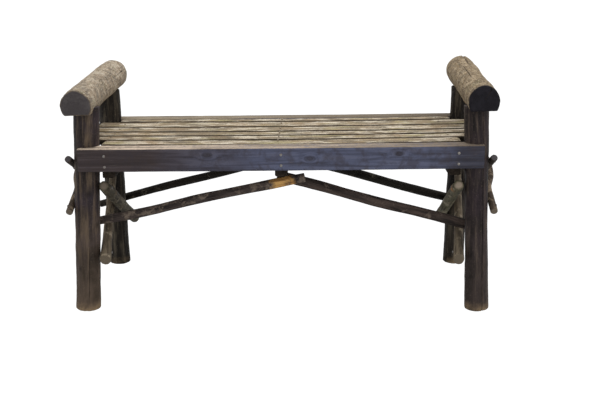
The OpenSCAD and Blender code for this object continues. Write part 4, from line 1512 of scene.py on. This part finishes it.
@dataclass(frozen=True)
class LongBraces:
    """The four long poles that rise from the posts to the middle bearer."""

    braces: tuple[StickSize, ...] = (
        StickSize("brace_front_left", 31, "brace_left", 0.013, (1, 1, 1),
                  (0.80, 0.97, 0.90, 0.96, 0.90, 0.98, 0.94),
                  ((0.0, 0.0, -0.003), (0.0, 0.0, 0.002), (0.0, 0.0, 0.001)), (0.005, 0.0012)),
        StickSize("brace_front_right", 32, "brace", 0.014, (-1, 1, 1),
                  (0.86, 0.95, 0.92, 0.97, 0.93, 0.97, 0.94),
                  ((0.0, 0.0, 0.001), (0.0, 0.0, -0.002), (0.0, 0.0, 0.001)), (0.003, 0.003)),
        # The rear braces take a darker copy of the bark: painted shade under the seat.
        StickSize("brace_rear_left", 33, "brace_painted_shade", 0.013, (1, -1, 1),
                  (0.85, 0.92, 0.95, 0.92, 0.95, 0.90),
                  ((0.0, 0.0, 0.002), (0.0, 0.0, -0.002)), (0.003, 0.003)),
        StickSize("brace_rear_right", 34, "brace_painted_shade", 0.014, (-1, -1, 1),
                  (0.85, 0.95, 0.93, 0.96, 0.94, 0.92),
                  ((0.0, 0.0, -0.002), (0.0, 0.0, 0.002)), (0.003, 0.003)),
    )

    def build(self, shop: Workshop) -> list[bpy.types.Object]:
        """Builds and dresses the braces.

        Args:
            shop: the tools and finishes.

        Returns:
            The braces.
        """
        made = []
        for size in self.braces:
            start, stop = rod_axis(size.node, size.radius, size.signs)
            piece = stick_timber(size, start, stop).build()
            made.append(settle(piece, shop.finishes[size.finish], FinishName.STICK, size.node))
        return made


@dataclass(frozen=True)
class EndSticks:
    """The four crossing sticks between the posts at each end."""

    low_end_inset: float = 0.0152
    high_end_inset: float = 0.0104
    bow_out: tuple[float, ...] = (-0.0004, 0.0004, 0.0146, 0.0179, 0.0135, 0.0087, 0.0043)

    def _sizes(self, side: float) -> list[StickSize]:
        """The sticks of one end, side is -1 on the left and 1 on the right."""
        name, odd = ("right", 1) if side > 0 else ("left", 0)
        patch = (Knot(0.030, 4.6, 0.010, 0.002),) if side > 0 else (Knot(0.09, 1.7, 0.008, 0.002),)
        return [
            StickSize(f"inner_fall_{name}", 41 + odd, "inner_fall_" + name, 0.016, (side, 1, -1),
                      (0.86, 0.97, 0.92, 0.96, 0.90, 0.95, 0.97), ((0.0, 0.0, 0.001), (0.0, 0.0, -0.001)),
                      (0.010, 0.006), (0.0, 0.0), patch, 0.0012),
            StickSize(f"inner_climb_{name}", 43 + odd, "inner_climb", 0.015, (side, 1, 1),
                      (1.0, 0.84, 0.78, 0.74, 0.70, 0.66), (), (0.003, 0.002), (0.25, 0.0),
                      (Knot(0.13, 2.6, 0.008, 0.003),)),
            StickSize(f"outer_fall_{name}", 45 + odd, "outer_fall", 0.0095, (side, 1, -1),
                      (0.90, 0.96, 0.88, 0.95, 0.90, 0.94), ((0.0, 0.0, 0.001), (0.0, 0.0, -0.002)),
                      (0.0035, 0.0035),
                      (0.0, 0.0), (Knot(0.10, 3.6, 0.006, 0.0018),), 0.0007),
            StickSize(f"outer_climb_{name}", 47 + odd, "outer_climb", 0.0095, (side, 1, 1),
                      (0.99, 1.00, 0.95, 1.02, 0.94, 0.95),
                      tuple((side * out, 0.0, 0.0) for out in self.bow_out),
                      (0.003, 0.003), (0.0, 0.0), (), 0.0006),
        ]

    def _axis(self, size: StickSize, side: float) -> tuple[Vector, Vector]:
        """Where a stick's axis starts and stops."""
        low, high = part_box(size.node)
        near, far = sorted((abs(low.x), abs(high.x)))
        if size.node.startswith("inner_climb"):
            start = Vector((side * (near + self.low_end_inset), low.y + 0.0052, low.z + 0.0136))
            stop = Vector((side * (far - self.high_end_inset), high.y - 0.0015, high.z - 0.0092))
            return start, stop
        start, stop = rod_axis(size.node, size.radius, size.signs)
        if size.node.startswith("outer_climb"):
            start.x, stop.x = side * (near + 0.0127), side * (near + 0.0177)
        return start, stop

    def build(self, shop: Workshop) -> list[bpy.types.Object]:
        """Builds and dresses the end sticks.

        Args:
            shop: the tools and finishes.

        Returns:
            The sticks.
        """
        made = []
        for side in (-1.0, 1.0):
            for size in self._sizes(side):
                start, stop = self._axis(size, side)
                piece = stick_timber(size, start, stop).build()
                made.append(settle(piece, shop.finishes[size.finish], FinishName.STICK, size.node))
        return made


@dataclass(frozen=True)
class Nails:
    """Every nail head and the start of its shank."""

    head: float = 0.0035
    sunk_head: float = 0.0026
    shank: float = 0.0016
    thick: float = 0.0012
    depth: float = 0.012
    groups: tuple[str, ...] = ("apron_nails", "slat_nails", "brace_nails", "stick_nails")

    def build(self, shop: Workshop) -> list[bpy.types.Object]:
        """Builds and dresses the nails.

        Args:
            shop: the tools and finishes.

        Returns:
            One piece for each group of nails.
        """
        made = []
        for number, node in enumerate(self.groups):
            places, drives = self._places(node)
            sunk = node == "slat_nails"
            start = bpy.data.meshes.new(node + "_start")
            start.from_pydata(places, [], [])
            store_vectors(start, "drive", np.array(drives, float))
            piece = shop.nails.run(node + "_driven", start, {
                "Head": self.sunk_head if sunk else self.head, "Head Thickness": self.thick,
                "Shank": self.shank, "Depth": self.depth, "Seed": 5 + number,
                "Uneven": 0.1, "Material": shop.finishes["nail_dark" if sunk else "nail"],
            })
            made.append(settle(piece, None, FinishName.NAIL, node))
        return made

    def _places(self, node: str) -> tuple[list[Vector], list[Vector]]:
        """Finds each nail's head and the way it faces in a CAD node.

        Args:
            node: the CAD node with a group of nails.

        Returns:
            The places of the heads' undersides and the outward directions.
        """
        places, drives = [], []
        for points in loose_parts(bpy.data.objects[node].data):
            centre = points.mean(0)
            spread = points - centre
            _, vectors = np.linalg.eigh(spread.T @ spread)
            axis = vectors[:, -1]
            along = spread @ axis
            width = np.linalg.norm(spread - np.outer(along, axis), axis=1)
            if along[np.argmax(width)] < 0:
                axis, along = -axis, -along
            tip = points[np.argmax(along)]
            wide = points[width > self.head * 0.9]
            heart = wide.mean(0) if len(wide) else tip
            top = float(along.max()) + float(centre @ axis)
            base = heart - axis * (heart @ axis) + axis * (top - self.thick)
            places.append(Vector(base))
            drives.append(Vector(axis))
        return places, drives


def loose_parts(mesh: bpy.types.Mesh) -> list[np.ndarray]:
    """Splits a mesh's points into its separate solids.

    Args:
        mesh: the mesh to look at, left as it is.

    Returns:
        The points of each solid, as rows.
    """
    count = len(mesh.vertices)
    points = np.empty(count * 3)
    mesh.vertices.foreach_get("co", points)
    points = points.reshape(-1, 3)
    keys, owner = np.unique(np.round(points, 6), axis=0, return_inverse=True)
    owner = owner.ravel()
    edges = np.empty(len(mesh.edges) * 2, np.int64)
    mesh.edges.foreach_get("vertices", edges)
    edges = owner[edges.reshape(-1, 2)]
    label = np.arange(len(keys))
    while True:
        low = np.minimum(label[edges[:, 0]], label[edges[:, 1]])
        fresh = label.copy()
        np.minimum.at(fresh, edges[:, 0], low)
        np.minimum.at(fresh, edges[:, 1], low)
        fresh = fresh[fresh]
        if np.array_equal(fresh, label):
            break
        label = fresh
    return [keys[label == value] for value in np.unique(label)]


# ---------------------------------------------------------------- the studio


@dataclass(frozen=True)
class Studio:
    """Pale floor, plain backdrop, soft lights and the camera."""

    camera_at: tuple[float, float, float] = (0.085, -2.4911, 0.936)
    lens: float = 54.9
    heading: float = 0.90
    pitch: float = -15.49
    roll: float = -0.37

    def build(self) -> None:
        """Builds the floor, the lights and the camera."""
        self._world()
        self._floor()
        self._lights()
        self._camera()

    def _world(self) -> None:
        """A white surround that also gives soft light from everywhere."""
        world = bpy.data.worlds.new("studio")
        bpy.context.scene.world = world
        world.use_nodes = True
        board = NodeBoard(world.node_tree)
        world.node_tree.nodes.clear()
        ray = board.add("ShaderNodeLightPath").outputs["Is Camera Ray"]
        soft = board.add("ShaderNodeBackground", {"Color": (1.0, 1.0, 1.0, 1.0), "Strength": 0.66})
        seen = board.add("ShaderNodeBackground", {"Color": (1.0, 1.0, 1.0, 1.0), "Strength": 1.2})
        mixed = board.add("ShaderNodeMixShader", {0: ray, 1: soft.outputs[0], 2: seen.outputs[0]})
        board.add("ShaderNodeOutputWorld", {0: mixed.outputs[0]})

    def _floor(self) -> None:
        """A wide pale floor whose own glow keeps it white."""
        mesh = bpy.data.meshes.new("floor")
        far = 14.0
        mesh.from_pydata([(-far, -far, 0.0), (far, -far, 0.0), (far, far, 0.0), (-far, far, 0.0)], [],
                         [(0, 1, 2, 3)])
        material, board, shader = start_material("studio floor", 0.9, 0.1)
        shader.inputs["Base Color"].default_value = (0.55, 0.55, 0.55, 1.0)
        glow = board.add("ShaderNodeEmission", {"Color": (1.0, 1.0, 1.0, 1.0), "Strength": 1.1})
        ray = board.add("ShaderNodeLightPath").outputs["Is Camera Ray"]
        mixed = board.add("ShaderNodeMixShader", {0: ray, 1: shader.outputs[0], 2: glow.outputs[0]})
        out = next(node for node in board.tree.nodes if node.type == "OUTPUT_MATERIAL")
        board.tree.links.new(mixed.outputs[0], out.inputs["Surface"])
        mesh.materials.append(material)
        floor = bpy.data.objects.new("studio_floor", mesh)
        bpy.context.scene.collection.objects.link(floor)

    def _light(self, name: str, at: tuple[float, float, float], aim: tuple[float, float, float],
               size: float, power: float) -> None:
        """One square soft light.

        Args:
            name: the light's name.
            at: where it hangs.
            aim: what it points at.
            size: its side.
            power: its strength in watts.
        """
        data = bpy.data.lights.new(name, "AREA")
        data.shape = "SQUARE"
        data.size = size
        data.energy = power
        lamp = bpy.data.objects.new(name, data)
        lamp.location = at
        lamp.rotation_euler = (Vector(aim) - Vector(at)).to_track_quat("-Z", "Y").to_euler()
        bpy.context.scene.collection.objects.link(lamp)

    def _lights(self) -> None:
        """A broad light from above and a gentle one from the right front."""
        self._light("top_light", (0.2, 0.3, 3.2), (0.0, 0.0, 0.4), 2.6, 58.0)
        self._light("front_light", (1.6, -2.6, 1.7), (0.0, 0.0, 0.3), 1.8, 14.0)

    def _camera(self) -> None:
        """The camera at the bench's three-quarter height, looking down along Y."""
        data = bpy.data.cameras.new("view")
        data.lens = self.lens
        data.sensor_width = 36.0
        camera = bpy.data.objects.new("view", data)
        turn = (Matrix.Rotation(math.radians(self.heading), 4, "Z")
                @ Matrix.Rotation(math.radians(90.0 + self.pitch), 4, "X")
                @ Matrix.Rotation(math.radians(self.roll), 4, "Z"))
        camera.matrix_world = Matrix.Translation(self.camera_at) @ turn
        bpy.context.scene.collection.objects.link(camera)
        bpy.context.scene.camera = camera


def make_finishes() -> dict[str, bpy.types.Material]:
    """Builds every material by the name that the pieces use.

    Returns:
        The materials.
    """
    effects = SharedEffects()
    finishes = {
        "post": PostFinish("post stain", fade_amount=0.75),
        "post_right": PostFinish("post stain plum", dark=(0.009, 0.007, 0.007), stain=(0.033, 0.024, 0.024),
                                 worn=(0.110, 0.082, 0.064),
                                  painted_sheen=(0.045, 0.030, 0.040), fade_amount=0.40),
        # Rear posts: the post stain made darker throughout, painted shade behind and under the seat.
        "post_painted_shade": PostFinish("post stain painted shade", dark=(0.005, 0.004, 0.003), stain=(0.018, 0.014, 0.011),
                                worn=(0.120, 0.100, 0.072), painted_sheen=(0.024, 0.018, 0.014), fade_amount=0.10),
        "log_left": ArmLogFinish("left arm log", (0.062, 0.053, 0.055), (0.098, 0.087, 0.086),
                                 (0.085, 0.062, 0.045)),
        "log_right": ArmLogFinish("right arm log", (0.008, 0.007, 0.010), (0.018, 0.016, 0.022),
                                  (0.014, 0.010, 0.009),
                                  end_spread=0.62, tan=(0.225, 0.158, 0.086), grey=(0.150, 0.113, 0.070),
                                  pale=(0.41, 0.325, 0.215), dark=(0.055, 0.039, 0.026),
                                  fleck=(0.50, 0.42, 0.31)),
        "apron": ApronFinish(),
        "apron_rear": ApronFinish("rear apron board", worn=(0.34, 0.28, 0.20),
                                  worn_dark=(0.055, 0.040, 0.027), bare_reach=0.5),
        "bearer": BearerFinish(),
        "slat": SlatFinish(),
        "brace_left": StickFinish("bared brace", (0.085, 0.064, 0.057), (0.020, 0.016, 0.015),
                                  (0.23, 0.18, 0.14),
                                  peel_cover=0.47, bare_from=0.84, bare_to=0.955),
        "brace": StickFinish("brace bark", (0.092, 0.066, 0.055), (0.024, 0.018, 0.016), (0.17, 0.130, 0.105),
                             peel_cover=0.38),
        # Rear braces: the brace bark made darker throughout, painted shade under the seat.
        "brace_painted_shade": StickFinish("brace bark painted shade", (0.032, 0.027, 0.021), (0.010, 0.009, 0.008),
                                  (0.16, 0.135, 0.10),
                                  peel_cover=0.38),
        "inner_fall_left": StickFinish("grey stick", (0.125, 0.106, 0.072), (0.030, 0.024, 0.016),
                                       (0.30, 0.255, 0.18),
                                       moss_cover=0.36, end=(0.17, 0.135, 0.105)),
        "inner_fall_right": StickFinish("grey green stick", (0.165, 0.148, 0.094), (0.040, 0.034, 0.021),
                                        (0.40, 0.355, 0.255),
                                        moss_cover=0.44, end=(0.34, 0.27, 0.21), knot=(0.55, 0.24, 0.08)),
        "inner_climb": StickFinish("speckled stick", (0.230, 0.182, 0.124), (0.050, 0.039, 0.028),
                                   (0.52, 0.43, 0.31),
                                   end=(0.13, 0.105, 0.075)),
        "outer_fall": StickFinish("thin stick", (0.080, 0.062, 0.050), (0.018, 0.014, 0.012),
                                  (0.19, 0.15, 0.12),
                                  end=(0.085, 0.080, 0.088)),
        "outer_climb": StickFinish("peeled stick", (0.105, 0.075, 0.053), (0.026, 0.019, 0.015),
                                   (0.30, 0.23, 0.16),
                                   peel_cover=0.52, end=(0.17, 0.14, 0.105)),
        "nail": NailFinish(),
        "nail_dark": NailFinish("rusted nail", (0.30, 0.25, 0.19), (0.20, 0.15, 0.10)),
    }
    return {name: finish.dress(effects) for name, finish in finishes.items()}


def main() -> None:
    """Builds the bench's looks around its frame, piece by piece."""
    logging.basicConfig(level=logging.INFO, format="%(message)s")
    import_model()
    bpy.context.scene.view_settings.view_transform = "Standard"
    shop = Workshop(BoardTool(), NailTool(), make_finishes())
    for part in (Posts(), ArmLogs(), SeatFrame(), LongBraces(), EndSticks(), Nails()):
        pieces = part.build(shop)
        LOG.info("%s: %d pieces", type(part).__name__, len(pieces))
    Studio().build()


if __name__ == "__main__":
    main()
